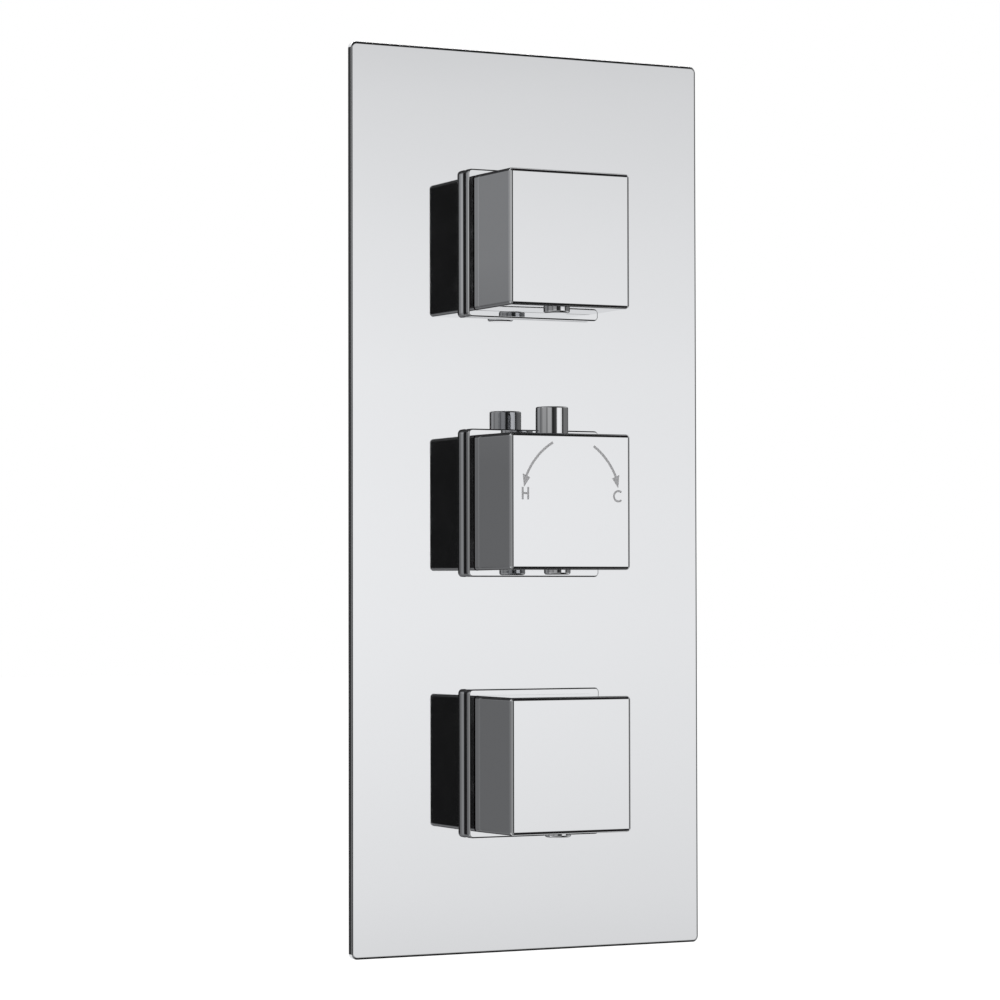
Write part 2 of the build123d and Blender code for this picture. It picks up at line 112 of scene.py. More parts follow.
def add_node(tree: Tree, kind: str, settings: dict = {}, inputs: dict = {}) -> Node:
    """Adds one node with its own settings, its socket values and its links.

    Args:
        tree: the node tree to add to.
        kind: Blender's name for the node.
        settings: the node's own options, by name.
        inputs: values or output sockets, by the name or number of the socket that takes them.

    Returns:
        The new node.
    """
    node = tree.nodes.new(kind)
    for name, value in settings.items():
        setattr(node, name, value)
    for name, value in inputs.items():
        if isinstance(value, Socket):
            tree.links.new(value, node.inputs[name])
        else:
            node.inputs[name].default_value = value
    return node


@dataclass(frozen=True)
class Finish:
    """What one surface is made of. The base class gives a plain shader that subclasses add detail to."""

    name: str
    colour: str
    roughness: float
    slot: str
    metallic: float = 0.0

    def material(self) -> bpy.types.Material:
        """Makes the material the first time, and hands out the same one after that.

        Returns:
            The Blender material.
        """
        made = bpy.data.materials.get(self.name)
        if made:
            return made
        made = bpy.data.materials.new(self.name)
        made.use_nodes = True
        tree = made.node_tree
        tree.nodes.clear()
        shader = add_node(
            tree,
            "ShaderNodeBsdfPrincipled",
            inputs={
                "Base Color": linear(self.colour),
                "Metallic": self.metallic,
                "Roughness": self.roughness,
            },
        )
        add_node(tree, "ShaderNodeOutputMaterial", inputs={"Surface": shader.outputs["BSDF"]})
        place = add_node(tree, "ShaderNodeTexCoord").outputs["Object"]
        self.detail(tree, shader, place)
        return made

    def detail(self, tree: Tree, shader: Node, place: Socket) -> None:
        """Adds this finish's own texture to the plain shader."""

    def noise(self, tree: Tree, place: Socket, size_mm: float, detail: float = 2.0) -> Socket:
        """A noise pattern whose features have a real size.

        Args:
            tree: the node tree to add to.
            place: the coordinates to read.
            size_mm: the size of its features in millimetres.
            detail: how many finer layers lie over it.

        Returns:
            The socket of the pattern's value.
        """
        node = add_node(
            tree,
            "ShaderNodeTexNoise",
            inputs={"Vector": place, "Scale": per_metre(size_mm), "Detail": detail},
        )
        return node.outputs["Fac"]

    def spread(self, tree: Tree, value: Socket, low: float, high: float) -> Socket:
        """Maps the middle half of a pattern to a range of values.

        Returns:
            The socket of the mapped value.
        """
        node = add_node(
            tree,
            "ShaderNodeMapRange",
            inputs={"Value": value, "From Min": 0.3, "From Max": 0.7, "To Min": low, "To Max": high},
        )
        return node.outputs["Result"]

    def relief(self, tree: Tree, shader: Node, height: Socket, depth_mm: float, strength: float) -> None:
        """Raises the surface by a pattern, without moving the mesh."""
        bump = add_node(
            tree,
            "ShaderNodeBump",
            inputs={"Height": height, "Distance": depth_mm * MM, "Strength": strength},
        )
        tree.links.new(bump.outputs["Normal"], shader.inputs["Normal"])

    def tint(self, tree: Tree, shader: Node, value: Socket, other: str) -> None:
        """Runs the base colour towards another one where a pattern is high."""
        mixed = add_node(
            tree,
            "ShaderNodeMix",
            {"data_type": "RGBA"},
            {0: value, 6: linear(self.colour), 7: linear(other)},
        )
        tree.links.new(mixed.outputs[2], shader.inputs["Base Color"])


@dataclass(frozen=True)
class MirrorChrome(Finish):
    """Chromium plated over polished nickel: a clear mirror with the faint unevenness of buffing."""

    metallic: float = 1.0
    waviness_mm: float = 45.0
    handling_mm: float = 9.0

    def detail(self, tree: Tree, shader: Node, place: Socket) -> None:
        """Lets the polish vary a little, and the plate swell by a few thousandths of a millimetre."""
        touched = self.noise(tree, place, self.handling_mm)
        tree.links.new(self.spread(tree, touched, 0.015, 0.04), shader.inputs["Roughness"])
        swell = self.noise(tree, place, self.waviness_mm, 0.0)
        self.relief(tree, shader, swell, 0.05, 0.12)


@dataclass(frozen=True)
class CastBrass(Finish):
    """Sand-cast brass: a dull gold skin with the grain of the sand, darker in patches."""

    metallic: float = 1.0
    sand_grain_mm: float = 0.9
    patch_mm: float = 14.0

    def detail(self, tree: Tree, shader: Node, place: Socket) -> None:
        """Adds the sand's grain, drawn coarser than it is so that it shows, and brown patches of oxide."""
        patches = self.noise(tree, place, self.patch_mm, 3.0)
        self.tint(tree, shader, self.spread(tree, patches, 0.0, 1.0), "#94763F")
        grain = self.noise(tree, place, self.sand_grain_mm, 3.0)
        tree.links.new(self.spread(tree, patches, 0.42, 0.6), shader.inputs["Roughness"])
        self.relief(tree, shader, grain, 0.25, 0.55)


@dataclass(frozen=True)
class TurnedBrass(Finish):
    """Machined brass: bright, with the rings that a lathe tool leaves round the axis."""

    metallic: float = 1.0
    tool_pitch_mm: float = 0.6
    axis_height: float = 0.0

    def detail(self, tree: Tree, shader: Node, place: Socket) -> None:
        """Draws the tool's rings round the piece's own axis, coarser than they are so that they show."""
        centred = add_node(
            tree,
            "ShaderNodeMapping",
            inputs={"Vector": place, "Location": (0.0, 0.0, -self.axis_height)},
        )
        rings = add_node(
            tree,
            "ShaderNodeTexWave",
            {"wave_type": "RINGS", "rings_direction": "Y"},
            {"Vector": centred.outputs["Vector"], "Scale": wave_scale(self.tool_pitch_mm), "Distortion": 0.3},
        )
        bands = add_node(
            tree,
            "ShaderNodeTexWave",
            {"wave_type": "BANDS", "bands_direction": "Y"},
            {"Vector": centred.outputs["Vector"], "Scale": wave_scale(self.tool_pitch_mm), "Distortion": 0.3},
        )
        both = add_node(
            tree,
            "ShaderNodeMath",
            {"operation": "ADD"},
            {0: rings.outputs["Fac"], 1: bands.outputs["Fac"]},
        )
        handled = self.noise(tree, place, 6.0)
        tree.links.new(self.spread(tree, handled, 0.2, 0.34), shader.inputs["Roughness"])
        self.tint(tree, shader, self.spread(tree, handled, 0.0, 1.0), "#B08D4F")
        self.relief(tree, shader, both.outputs["Value"], 0.02, 0.3)


@dataclass(frozen=True)
class ZincSteel(Finish):
    """Hot-dip galvanised sheet: pale grey with the leaf-shaped crystals called spangle."""

    metallic: float = 1.0
    spangle_mm: float = 5.0

    def detail(self, tree: Tree, shader: Node, place: Socket) -> None:
        """Gives each crystal its own shade and gloss."""
        crystals = add_node(
            tree,
            "ShaderNodeTexVoronoi",
            {"feature": "F1"},
            {"Vector": place, "Scale": per_metre(self.spangle_mm), "Randomness": 1.0},
        )
        shade = add_node(tree, "ShaderNodeSeparateColor", inputs={"Color": crystals.outputs["Color"]})
        self.tint(tree, shader, shade.outputs["Red"], "#A0A5A8")
        tree.links.new(self.spread(tree, shade.outputs["Green"], 0.34, 0.48), shader.inputs["Roughness"])
        self.relief(tree, shader, self.noise(tree, place, 1.2), 0.05, 0.2)


@dataclass(frozen=True)
class SpringSteel(Finish):
    """Drawn stainless steel: bright grey with fine lines along the drawing."""

    metallic: float = 1.0
    line_mm: float = 0.35

    def detail(self, tree: Tree, shader: Node, place: Socket) -> None:
        """Adds the drawing lines as a stretched noise."""
        stretched = add_node(
            tree, "ShaderNodeMapping", inputs={"Vector": place, "Scale": (1.0, 0.06, 1.0)}
        )
        lines = self.noise(tree, stretched.outputs["Vector"], self.line_mm)
        tree.links.new(self.spread(tree, lines, 0.16, 0.32), shader.inputs["Roughness"])
        self.relief(tree, shader, lines, 0.01, 0.25)


@dataclass(frozen=True)
class LappedCeramic(Finish):
    """Alumina ground flat for sealing: off-white and satin, with faint grey specks."""

    speck_mm: float = 0.8

    def detail(self, tree: Tree, shader: Node, place: Socket) -> None:
        """Adds the specks, and a gloss that varies with the lapping."""
        specks = self.noise(tree, place, self.speck_mm, 4.0)
        self.tint(tree, shader, self.spread(tree, specks, 0.0, 0.5), "#C9C9C2")
        tree.links.new(self.spread(tree, specks, 0.2, 0.3), shader.inputs["Roughness"])


@dataclass(frozen=True)
class MouldedRubber(Finish):
    """Nitrile rubber: matt near-black with a faint bloom."""

    bloom_mm: float = 4.0

    def detail(self, tree: Tree, shader: Node, place: Socket) -> None:
        """Adds the grey bloom and a fine skin."""
        bloom = self.noise(tree, place, self.bloom_mm)
        self.tint(tree, shader, self.spread(tree, bloom, 0.0, 0.6), "#3A3B3C")
        self.relief(tree, shader, self.noise(tree, place, 0.3), 0.02, 0.3)


@dataclass(frozen=True)
class ClosedCellFoam(Finish):
    """Closed-cell EPDM foam: dark grey sheet, pitted with cut cells."""

    cell_mm: float = 1.0

    def detail(self, tree: Tree, shader: Node, place: Socket) -> None:
        """Adds the cells as pits, with painted shade that darkens each pit towards its middle."""
        cells = add_node(
            tree,
            "ShaderNodeTexVoronoi",
            {"feature": "F1"},
            {"Vector": place, "Scale": per_metre(self.cell_mm)},
        )
        # Painted shade: each cell is darker towards its middle, where its pit is deepest, and lighter at its
        # rim
        self.tint(tree, shader, cells.outputs["Distance"], "#4B4C4E")
        self.relief(tree, shader, cells.outputs["Distance"], 0.3, 0.8)


@dataclass(frozen=True)
class MouldedPlastic(Finish):
    """Injection-moulded plastic: even colour, satin, with the fine texture of the mould."""

    texture_mm: float = 0.4

    def detail(self, tree: Tree, shader: Node, place: Socket) -> None:
        """Adds the mould's texture and slow flow marks in the gloss."""
        flow = self.noise(tree, place, 8.0)
        tree.links.new(self.spread(tree, flow, 0.34, 0.48), shader.inputs["Roughness"])
        self.relief(tree, shader, self.noise(tree, place, self.texture_mm), 0.02, 0.35)


@dataclass(frozen=True)
class DrawnCopper(Finish):
    """Drawn copper with a brown tarnish in patches."""

    metallic: float = 1.0
    tarnish_mm: float = 5.0

    def detail(self, tree: Tree, shader: Node, place: Socket) -> None:
        """Adds the tarnish."""
        tarnish = self.noise(tree, place, self.tarnish_mm, 3.0)
        self.tint(tree, shader, self.spread(tree, tarnish, 0.0, 0.8), "#7A4630")
        tree.links.new(self.spread(tree, tarnish, 0.22, 0.4), shader.inputs["Roughness"])


@dataclass(frozen=True)
class EngravedMark(Finish):
    """The frosted floor of a laser-engraved mark: flat mid grey, with no mirror left."""

    def detail(self, tree: Tree, shader: Node, place: Socket) -> None:
        """Adds the fine pits that the laser leaves."""
        self.relief(tree, shader, self.noise(tree, place, 0.15), 0.02, 0.5)


PLATE_CHROME = MirrorChrome("mirror_chrome_on_brass", "#DADBDD", 0.03, "chrome")
KNOB_CHROME = MirrorChrome("mirror_chrome_on_zinc", "#DADBDD", 0.03, "chrome")
MARK_GREY = EngravedMark("laser_frosted_chrome", "#C2C2C4", 0.7, "chrome")
CAST_BRASS = CastBrass("sand_cast_brass", "#C4A263", 0.5, "cast_brass")
TURNED_BRASS = {
    Level.UPPER: TurnedBrass("turned_brass_upper", "#D8B778", 0.25, "turned_brass", axis_height=0.0891),
    Level.MIDDLE: TurnedBrass("turned_brass_middle", "#D8B778", 0.25, "turned_brass"),
    Level.LOWER: TurnedBrass("turned_brass_lower", "#D8B778", 0.25, "turned_brass", axis_height=-0.0891),
}
ZINC = ZincSteel("galvanised_sheet_steel", "#B9BDC0", 0.4, "galvanised_steel")
STAINLESS = SpringSteel("drawn_stainless_steel", "#C4C5C6", 0.25, "stainless_steel")
CERAMIC = LappedCeramic("lapped_alumina", "#ECEBE6", 0.25, "disc_ceramic")
RUBBER = MouldedRubber("nitrile_rubber", "#141414", 0.75, "seal_rubber")
FOAM = ClosedCellFoam("epdm_foam", "#2A2B2D", 0.9, "gasket_foam")
NYLON = MouldedPlastic("glass_filled_nylon", "#5C6064", 0.4, "grey_plastic")
ACETAL = MouldedPlastic("orange_acetal", "#D2601E", 0.4, "orange_plastic")
COPPER = DrawnCopper("drawn_copper", "#B87048", 0.3, "copper")


def deselect() -> None:
    """Leaves nothing selected, because an operator acts on all that is."""
    bpy.ops.object.select_all(action="DESELECT")


def activate(piece: Piece) -> None:
    """Makes one piece the only selected one and the active one."""
    deselect()
    bpy.context.view_layer.objects.active = piece
    piece.select_set(True)


@contextmanager
def shaping(piece: Piece, kind: str = "FACE") -> Iterator[bmesh.types.BMesh]:
    """Edit mode on one piece, with nothing of it selected at first.

    Args:
        piece: the object to edit.
        kind: what is selected, FACE, EDGE or VERT.

    Yields:
        The mesh as edit mode sees it.
    """
    activate(piece)
    bpy.ops.object.mode_set(mode="EDIT")
    bpy.ops.mesh.select_mode(type=kind)
    bpy.ops.mesh.select_all(action="DESELECT")
    yield bmesh.from_edit_mesh(piece.data)
    bpy.ops.object.mode_set(mode="OBJECT")


def pick_faces(piece: Piece, wanted: Callable[[Vector, Vector], bool]) -> None:
    """Selects the faces that a test of their middle and normal accepts."""
    mesh = bmesh.from_edit_mesh(piece.data)
    for face in mesh.faces:
        face.select_set(bool(wanted(face.calc_center_median(), face.normal)))
    bmesh.update_edit_mesh(piece.data)


def pick_edges(piece: Piece, wanted: Callable[[Vector, Vector], bool]) -> None:
    """Selects the edges that a test of their two ends accepts."""
    mesh = bmesh.from_edit_mesh(piece.data)
    for edge in mesh.edges:
        edge.select_set(bool(wanted(edge.verts[0].co, edge.verts[1].co)))
    bmesh.update_edit_mesh(piece.data)


def near(a: float, b: float) -> bool:
    """Whether two lengths in millimetres are the same place."""
    return abs(a - b) < 0.02


def block(name: str, low: Vector, high: Vector) -> Piece:
    """Adds a cuboid between two corners, as a start for a piece.

    Args:
        name: the new object's name.
        low: its lowest corner in millimetres.
        high: its highest corner.

    Returns:
        The new object, unscaled and at the origin.
    """
    deselect()
    low, high = Vector(low), Vector(high)
    bpy.ops.mesh.primitive_cube_add(size=1, location=(low + high) / 2, scale=high - low)
    bpy.ops.object.transform_apply(location=True, rotation=True, scale=True)
    made = bpy.context.active_object
    made.name = name
    return made


# How a cylinder that is added upright has to turn to lie along each axis
TURN_TO = {"X": (0, math.pi / 2, 0), "Y": (-math.pi / 2, 0, 0), "Z": (0, 0, 0)}


def rod(name: str, axis: str, centre: Vector, radius: float, length: float, sides: int = 96) -> Piece:
    """Adds a round rod along an axis, as a start for a piece or as a cutter.

    Args:
        name: the new object's name.
        axis: X, Y or Z.
        centre: its middle in millimetres.
        radius: its radius.
        length: its length.
        sides: how many flats stand for the circle.

    Returns:
        The new object, unscaled and at the origin.
    """
    deselect()
    bpy.ops.mesh.primitive_cylinder_add(
        vertices=sides, radius=radius, depth=length, location=centre, rotation=TURN_TO[axis]
    )
    bpy.ops.object.transform_apply(location=True, rotation=True, scale=True)
    made = bpy.context.active_object
    made.name = name
    return made


def apply_modifier(piece: Piece, kind: str, settings: dict) -> None:
    """Adds a modifier with its settings and applies it."""
    modifier = piece.modifiers.new(kind.lower(), kind)
    for name, value in settings.items():
        setattr(modifier, name, value)
    activate(piece)
    bpy.ops.object.modifier_apply(modifier=modifier.name)


def combine(piece: Piece, tool: Piece, operation: str = "DIFFERENCE", self_touching: bool = False) -> None:
    """Cuts one solid from another, or joins it on, and uses the tool up.

    Args:
        piece: the solid that is changed.
        tool: the solid that is used up.
        operation: DIFFERENCE, UNION or INTERSECT.
        self_touching: whether shells of one of the two touch each other.
    """
    apply_modifier(
        piece,
        "BOOLEAN",
        {"operation": operation, "object": tool, "solver": "EXACT", "use_self": self_touching},
    )
    bpy.data.objects.remove(tool)


def to_millimetres(node: str) -> tuple[Vector, Vector]:
    """The lowest and highest corner of a CAD node, in millimetres."""
    low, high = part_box(node)
    return low / MM, high / MM


def finish_piece(
    piece: Piece, finish: Finish, body: str, *nodes: str, smooth: float = 32.0
) -> Piece:
    """Brings a piece to the frame's metres, shades and dresses it, and hands it to its body.

    Args:
        piece: the modelled piece, in millimetres.
        finish: what it is made of.
        body: the CAD body that it moves with.
        nodes: the CAD nodes that it stands for.
        smooth: the sharpest edge in degrees that is shaded as a curve.

    Returns:
        The piece.
    """
    activate(piece)
    piece.scale = (MM, MM, MM)
    bpy.ops.object.transform_apply(location=True, rotation=True, scale=True)
    shade(piece, smooth)
    if not piece.data.materials:
        piece.data.materials.append(finish.material())
    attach(piece, body)
    if nodes:
        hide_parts(*nodes)
    return piece


def shade(piece: Piece, smooth: float) -> None:
    """Shades curves smoothly and keeps the large flats flat beside their rounded edges."""
    activate(piece)
    bpy.ops.object.shade_smooth_by_angle(angle=math.radians(smooth))
    apply_modifier(
        piece, "WEIGHTED_NORMAL", {"mode": "FACE_AREA_WITH_ANGLE", "weight": 80, "keep_sharp": True}
    )


def duplicate(piece: Piece, name: str, shift: Vector) -> Piece:
    """Copies a finished shape with its own mesh and moves the copy.

    Args:
        piece: the shape to copy, in millimetres.
        name: the copy's name.
        shift: how far to move it.

    Returns:
        The copy, at the origin.
    """
    activate(piece)
    bpy.ops.object.duplicate(linked=False)
    made = bpy.context.active_object
    made.name = name
    made.location = shift
    bpy.ops.object.transform_apply(location=True, rotation=False, scale=False)
    return made


def cad_copy(node: str, name: str) -> Piece:
    """A copy of a CAD node with its loose triangles merged into clean faces, in millimetres.

    Args:
        node: the CAD node.
        name: the copy's name.

    Returns:
        The copy.
    """
    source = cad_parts[node]
    made = bpy.data.objects.new(name, source.data.copy())
    made.data.materials.clear()
    bpy.context.scene.collection.objects.link(made)
    activate(made)
    made.scale = (1 / MM, 1 / MM, 1 / MM)
    bpy.ops.object.transform_apply(location=False, rotation=False, scale=True)
    if made.data.has_custom_normals:
        bpy.ops.mesh.customdata_custom_splitnormals_clear()
    with shaping(made, "VERT"):
        bpy.ops.mesh.select_all(action="SELECT")
        bpy.ops.mesh.remove_doubles(threshold=0.002)
        bpy.ops.mesh.dissolve_limited(angle_limit=math.radians(0.5))
    return made


def ease_edges(piece: Piece, width: float, segments: int, sharper_than: float = 35.0) -> None:
    """Rounds every edge of a copy that is sharper than an angle."""
    apply_modifier(
        piece,
        "BEVEL",
        {
            "width": width,
            "segments": segments,
            "limit_method": "ANGLE",
            "angle_limit": math.radians(sharper_than),
            "use_clamp_overlap": True,
            "harden_normals": False,
        },
    )


def draft_sides(piece: Piece, low: Vector, high: Vector, draft: float) -> None:
    """Widens a piece's back rim, so that its sides lean as they must to leave a mould.

    Args:
        piece: the piece to shape, centred on the axis of its front face.
        low: the lowest corner of the piece in millimetres.
        high: the highest corner.
        draft: the angle in degrees that each side leans.
    """
    lean = math.tan(math.radians(draft)) * (high.y - low.y)
    share = 1 + 2 * lean / (high.x - low.x)
    with shaping(piece):
        pick_faces(piece, lambda middle, normal: near(middle.y, high.y))
        bpy.ops.transform.resize(value=(share, 1, share), center_override=(0, 0, (low.z + high.z) / 2))


@dataclass
class FacePlate:
    """The mirror plate: pressed brass with a turned-back rim and a round hole for each tower."""

    corner: float = 2.0
    edge: float = 0.9
    edge_depth: float = 0.3
    rim: float = 3.0
    hollow: float = 1.2
    hole_radius: float = 20.4
    handle_pitch: float = 89.1
    hole_sides: int = 128

    def build(self) -> Piece:
        """Models the plate over its CAD node.

        Returns:
            The finished plate.
        """
        low, high = to_millimetres("face_plate")
        plate = block("mirror_face_plate", low, high)
        with shaping(plate):
            pick_faces(plate, lambda middle, normal: normal.y > 0.9)
            bpy.ops.mesh.inset(thickness=self.rim)
            bpy.ops.mesh.extrude_region_move(TRANSFORM_OT_translate={"value": (0, -self.hollow, 0)})
        with shaping(plate, "EDGE"):
            pick_edges(plate, lambda a, b: self.is_corner(a, b, low, high))
            bpy.ops.mesh.bevel(offset=self.corner, segments=8)
        with shaping(plate, "EDGE"):
            pick_edges(plate, lambda a, b: near(a.y, low.y) and near(b.y, low.y))
            bpy.ops.mesh.bevel(offset=self.edge, segments=8)
        with shaping(plate, "EDGE"):
            pick_edges(plate, lambda a, b: max(a.y, b.y) < low.y + self.edge + 0.01)
            bpy.ops.transform.resize(value=(1, self.edge_depth, 1), center_override=(0, low.y, 0))
        middle = (low.y + high.y) / 2
        for level in (self.handle_pitch, 0.0, -self.handle_pitch):
            hole = rod("hole", "Y", (0, middle, level), self.hole_radius, 10.0, self.hole_sides)
            combine(plate, hole)
        return finish_piece(plate, PLATE_CHROME, "valve", "face_plate")

    def is_corner(self, a: Vector, b: Vector, low: Vector, high: Vector) -> bool:
        """Whether an edge is one of the four outer ones that run from front to back."""
        outside = near(abs(a.x), high.x) and (near(a.z, low.z) or near(a.z, high.z))
        return outside and near(a.x, b.x) and near(a.z, b.z)


@dataclass
class Collar:
    """A square collar round a tower, hollow behind, whose sides tuck in a little where they meet the plate."""

    corner: float = 1.5
    edge: float = 0.5
    draft: float = 1.0
    tuck: float = 0.2
    tuck_depth: float = 1.5
    wall: float = 1.7
    web: float = 1.4
    hole_radius: float = 20.05
    hole_sides: int = 128

    def build(self) -> list[Piece]:
        """Models one collar and copies it to the three handles.

        Returns:
            The three collars.
        """
        collar = self.pattern()
        made = []
        for level in Level:
            node = f"collar_{level.value}"
            height = sum(corner.z for corner in to_millimetres(node)) / 2
            copy = duplicate(collar, f"square_collar_{level.value}", (0, 0, height))
            made.append(finish_piece(copy, PLATE_CHROME, "valve", node))
        bpy.data.objects.remove(collar)
        return made

    def pattern(self) -> Piece:
        """The middle collar, which the other two are copied from."""
        low, high = to_millimetres("collar_middle")
        side_end = high.y - self.tuck_depth
        collar = block("collar_pattern", low, (high.x, side_end, high.z))
        widened = 1 + math.tan(math.radians(self.draft)) * (side_end - low.y) / high.x
        tucked = 1 - self.tuck / high.x
        with shaping(collar):
            pick_faces(collar, lambda middle, normal: normal.y > 0.9)
            bpy.ops.transform.resize(value=(widened, 1, widened), center_override=(0, 0, 0))
            bpy.ops.mesh.extrude_region_move(TRANSFORM_OT_translate={"value": (0, self.tuck_depth, 0)})
            bpy.ops.transform.resize(value=(tucked, 1, tucked), center_override=(0, 0, 0))
            bpy.ops.mesh.inset(thickness=self.wall)
            sink = self.web - (high.y - low.y)
            bpy.ops.mesh.extrude_region_move(TRANSFORM_OT_translate={"value": (0, sink, 0)})
        with shaping(collar, "EDGE"):
            pick_edges(collar, lambda a, b: self.is_outer(a, high) and self.is_outer(b, high)
                       and not near(a.y, b.y))
            bpy.ops.mesh.bevel(offset=self.corner, segments=8)
        with shaping(collar, "EDGE"):
            pick_edges(collar, lambda a, b: near(a.y, low.y) and near(b.y, low.y))
            bpy.ops.mesh.bevel(offset=self.edge, segments=4)
        combine(collar, rod("hole", "Y", (0, low.y, 0), self.hole_radius, 10.0, self.hole_sides))
        return collar

    def is_outer(self, corner: Vector, high: Vector) -> bool:
        """Whether a corner is one of the outer ones, in front or behind."""
        return min(abs(corner.x), abs(corner.z)) > high.x - self.wall / 2


@dataclass
class TemperatureMarks:
    """The engraved arrows with H and C on the temperature handle's front."""

    arc_radius: float = 23.8
    arc_centre: tuple[float, float] = (-4.65, -0.9)
    hot_start: float = 60.6
    cold_start: float = 56.0
    arc_end: float = 23.5
    arc_steps: int = 24
    line_width: float = 0.85
    head_width: float = 3.1
    head_length: float = 4.0
    head_lean: float = 14.0
    letter_height: float = 4.2
    letter_line: float = 0.7
    hot_width: float = 2.8
    hot_place: tuple[float, float] = (-17.6, 2.6)
    cold_place: tuple[float, float] = (18.2, 1.95)
    depth: float = 0.12

    def build(self, front: float) -> Piece:
        """Models both arrows and letters as one thin solid, sunk into the handle's front.

        Args:
            front: where the handle's front lies along Y.

        Returns:
            The marks, in millimetres, reaching a little out of the front for cutting.
        """
        pieces = [self.arrow(1), self.arrow(-1), *self.letter_h(), self.letter_c()]
        activate(pieces[0])
        for piece in pieces:
            piece.select_set(True)
        bpy.ops.object.join()
        marks = bpy.context.active_object
        marks.name = "temperature_marks"
        marks.location = (0, front + self.depth, 0)
        bpy.ops.object.transform_apply(location=True, rotation=False, scale=False)
        return marks

    def strip(self, name: str, start: Vector, width: Vector) -> Piece:
        """A short edge that the lines of the marks are swept from."""
        mesh = bpy.data.meshes.new(name)
        mesh.from_pydata([start - width / 2, start + width / 2], [(0, 1)], [])
        made = bpy.data.objects.new(name, mesh)
        bpy.context.scene.collection.objects.link(made)
        return made

    def arrow(self, side: int) -> Piece:
        """One arrow: an arc swept from a short edge, ending in a triangle.

        Args:
            side: 1 for the right-hand arrow, -1 for its mirror image.

        Returns:
            A flat mesh in the plane Y = 0.
        """
        across, height = self.arc_centre
        centre = Vector((side * across, 0, height))
        first = self.cold_start if side > 0 else self.hot_start
        start = math.radians(first)
        sweep = math.radians(self.arc_end - first)
        outward = Vector((side * math.cos(start), 0, math.sin(start)))
        arc = self.strip("arrow", centre + outward * self.arc_radius, outward * self.line_width)
        with shaping(arc, "VERT"):
            bpy.ops.mesh.select_all(action="SELECT")
            bpy.ops.mesh.spin(
                steps=self.arc_steps, angle=side * sweep, center=centre, axis=(0, 1, 0)
            )
            mesh = bmesh.from_edit_mesh(arc.data)
            self.head(mesh, centre, side)
            bmesh.update_edit_mesh(arc.data)
        return self.thicken(arc)

    def head(self, mesh: bmesh.types.BMesh, centre: Vector, side: int) -> None:
        """Adds the arrow's triangle where the arc ends."""
        end = math.radians(self.arc_end)
        lean = math.radians(self.head_lean)
        outward = Vector((side * math.cos(end), 0, math.sin(end)))
        onward = Vector((side * math.sin(lean), 0, -math.cos(lean)))
        base = centre + outward * self.arc_radius
        corners = [
            base + outward * self.head_width / 2,
            base - outward * self.head_width / 2,
            base + onward * self.head_length,
        ]
        mesh.faces.new([mesh.verts.new(corner) for corner in corners])

    def bar(self, low: tuple[float, float], high: tuple[float, float]) -> Piece:
        """One straight stroke of a letter, from its lower left to its upper right corner."""
        return block("stroke", (low[0], -self.depth - 0.05, low[1]), (high[0], 0, high[1]))

    def letter_h(self) -> list[Piece]:
        """The letter for hot, of three strokes."""
        x, z = self.hot_place
        half_width, half_height = self.hot_width / 2, self.letter_height / 2
        line = self.letter_line
        left = self.bar((x - half_width, z - half_height), (x - half_width + line, z + half_height))
        right = self.bar((x + half_width - line, z - half_height), (x + half_width, z + half_height))
        cross = self.bar((x - half_width + line, z - line / 2), (x + half_width - line, z + line / 2))
        return [left, right, cross]

    def letter_c(self) -> Piece:
        """The letter for cold, three quarters of a ring."""
        centre = Vector((self.cold_place[0], 0, self.cold_place[1]))
        radius = (self.letter_height - self.letter_line) / 2
        opening = math.radians(48)
        outward = Vector((math.cos(opening), 0, math.sin(opening)))
        ring = self.strip("letter_c", centre + outward * radius, outward * self.letter_line)
        with shaping(ring, "VERT"):
            bpy.ops.mesh.select_all(action="SELECT")
            bpy.ops.mesh.spin(
                steps=self.arc_steps, angle=2 * math.pi - 2 * opening, center=centre, axis=(0, 1, 0)
            )
        return self.thicken(ring)

    def thicken(self, flat: Piece) -> Piece:
        """Gives a flat mark its depth, out of the handle's front."""
        with shaping(flat):
            bpy.ops.mesh.select_all(action="SELECT")
            bpy.ops.mesh.remove_doubles(threshold=0.001)
            bpy.ops.mesh.extrude_region_move(
                TRANSFORM_OT_translate={"value": (0, -self.depth - 0.05, 0)}
            )
            bpy.ops.mesh.select_all(action="SELECT")
            bpy.ops.mesh.normals_make_consistent(inside=False)
        return flat


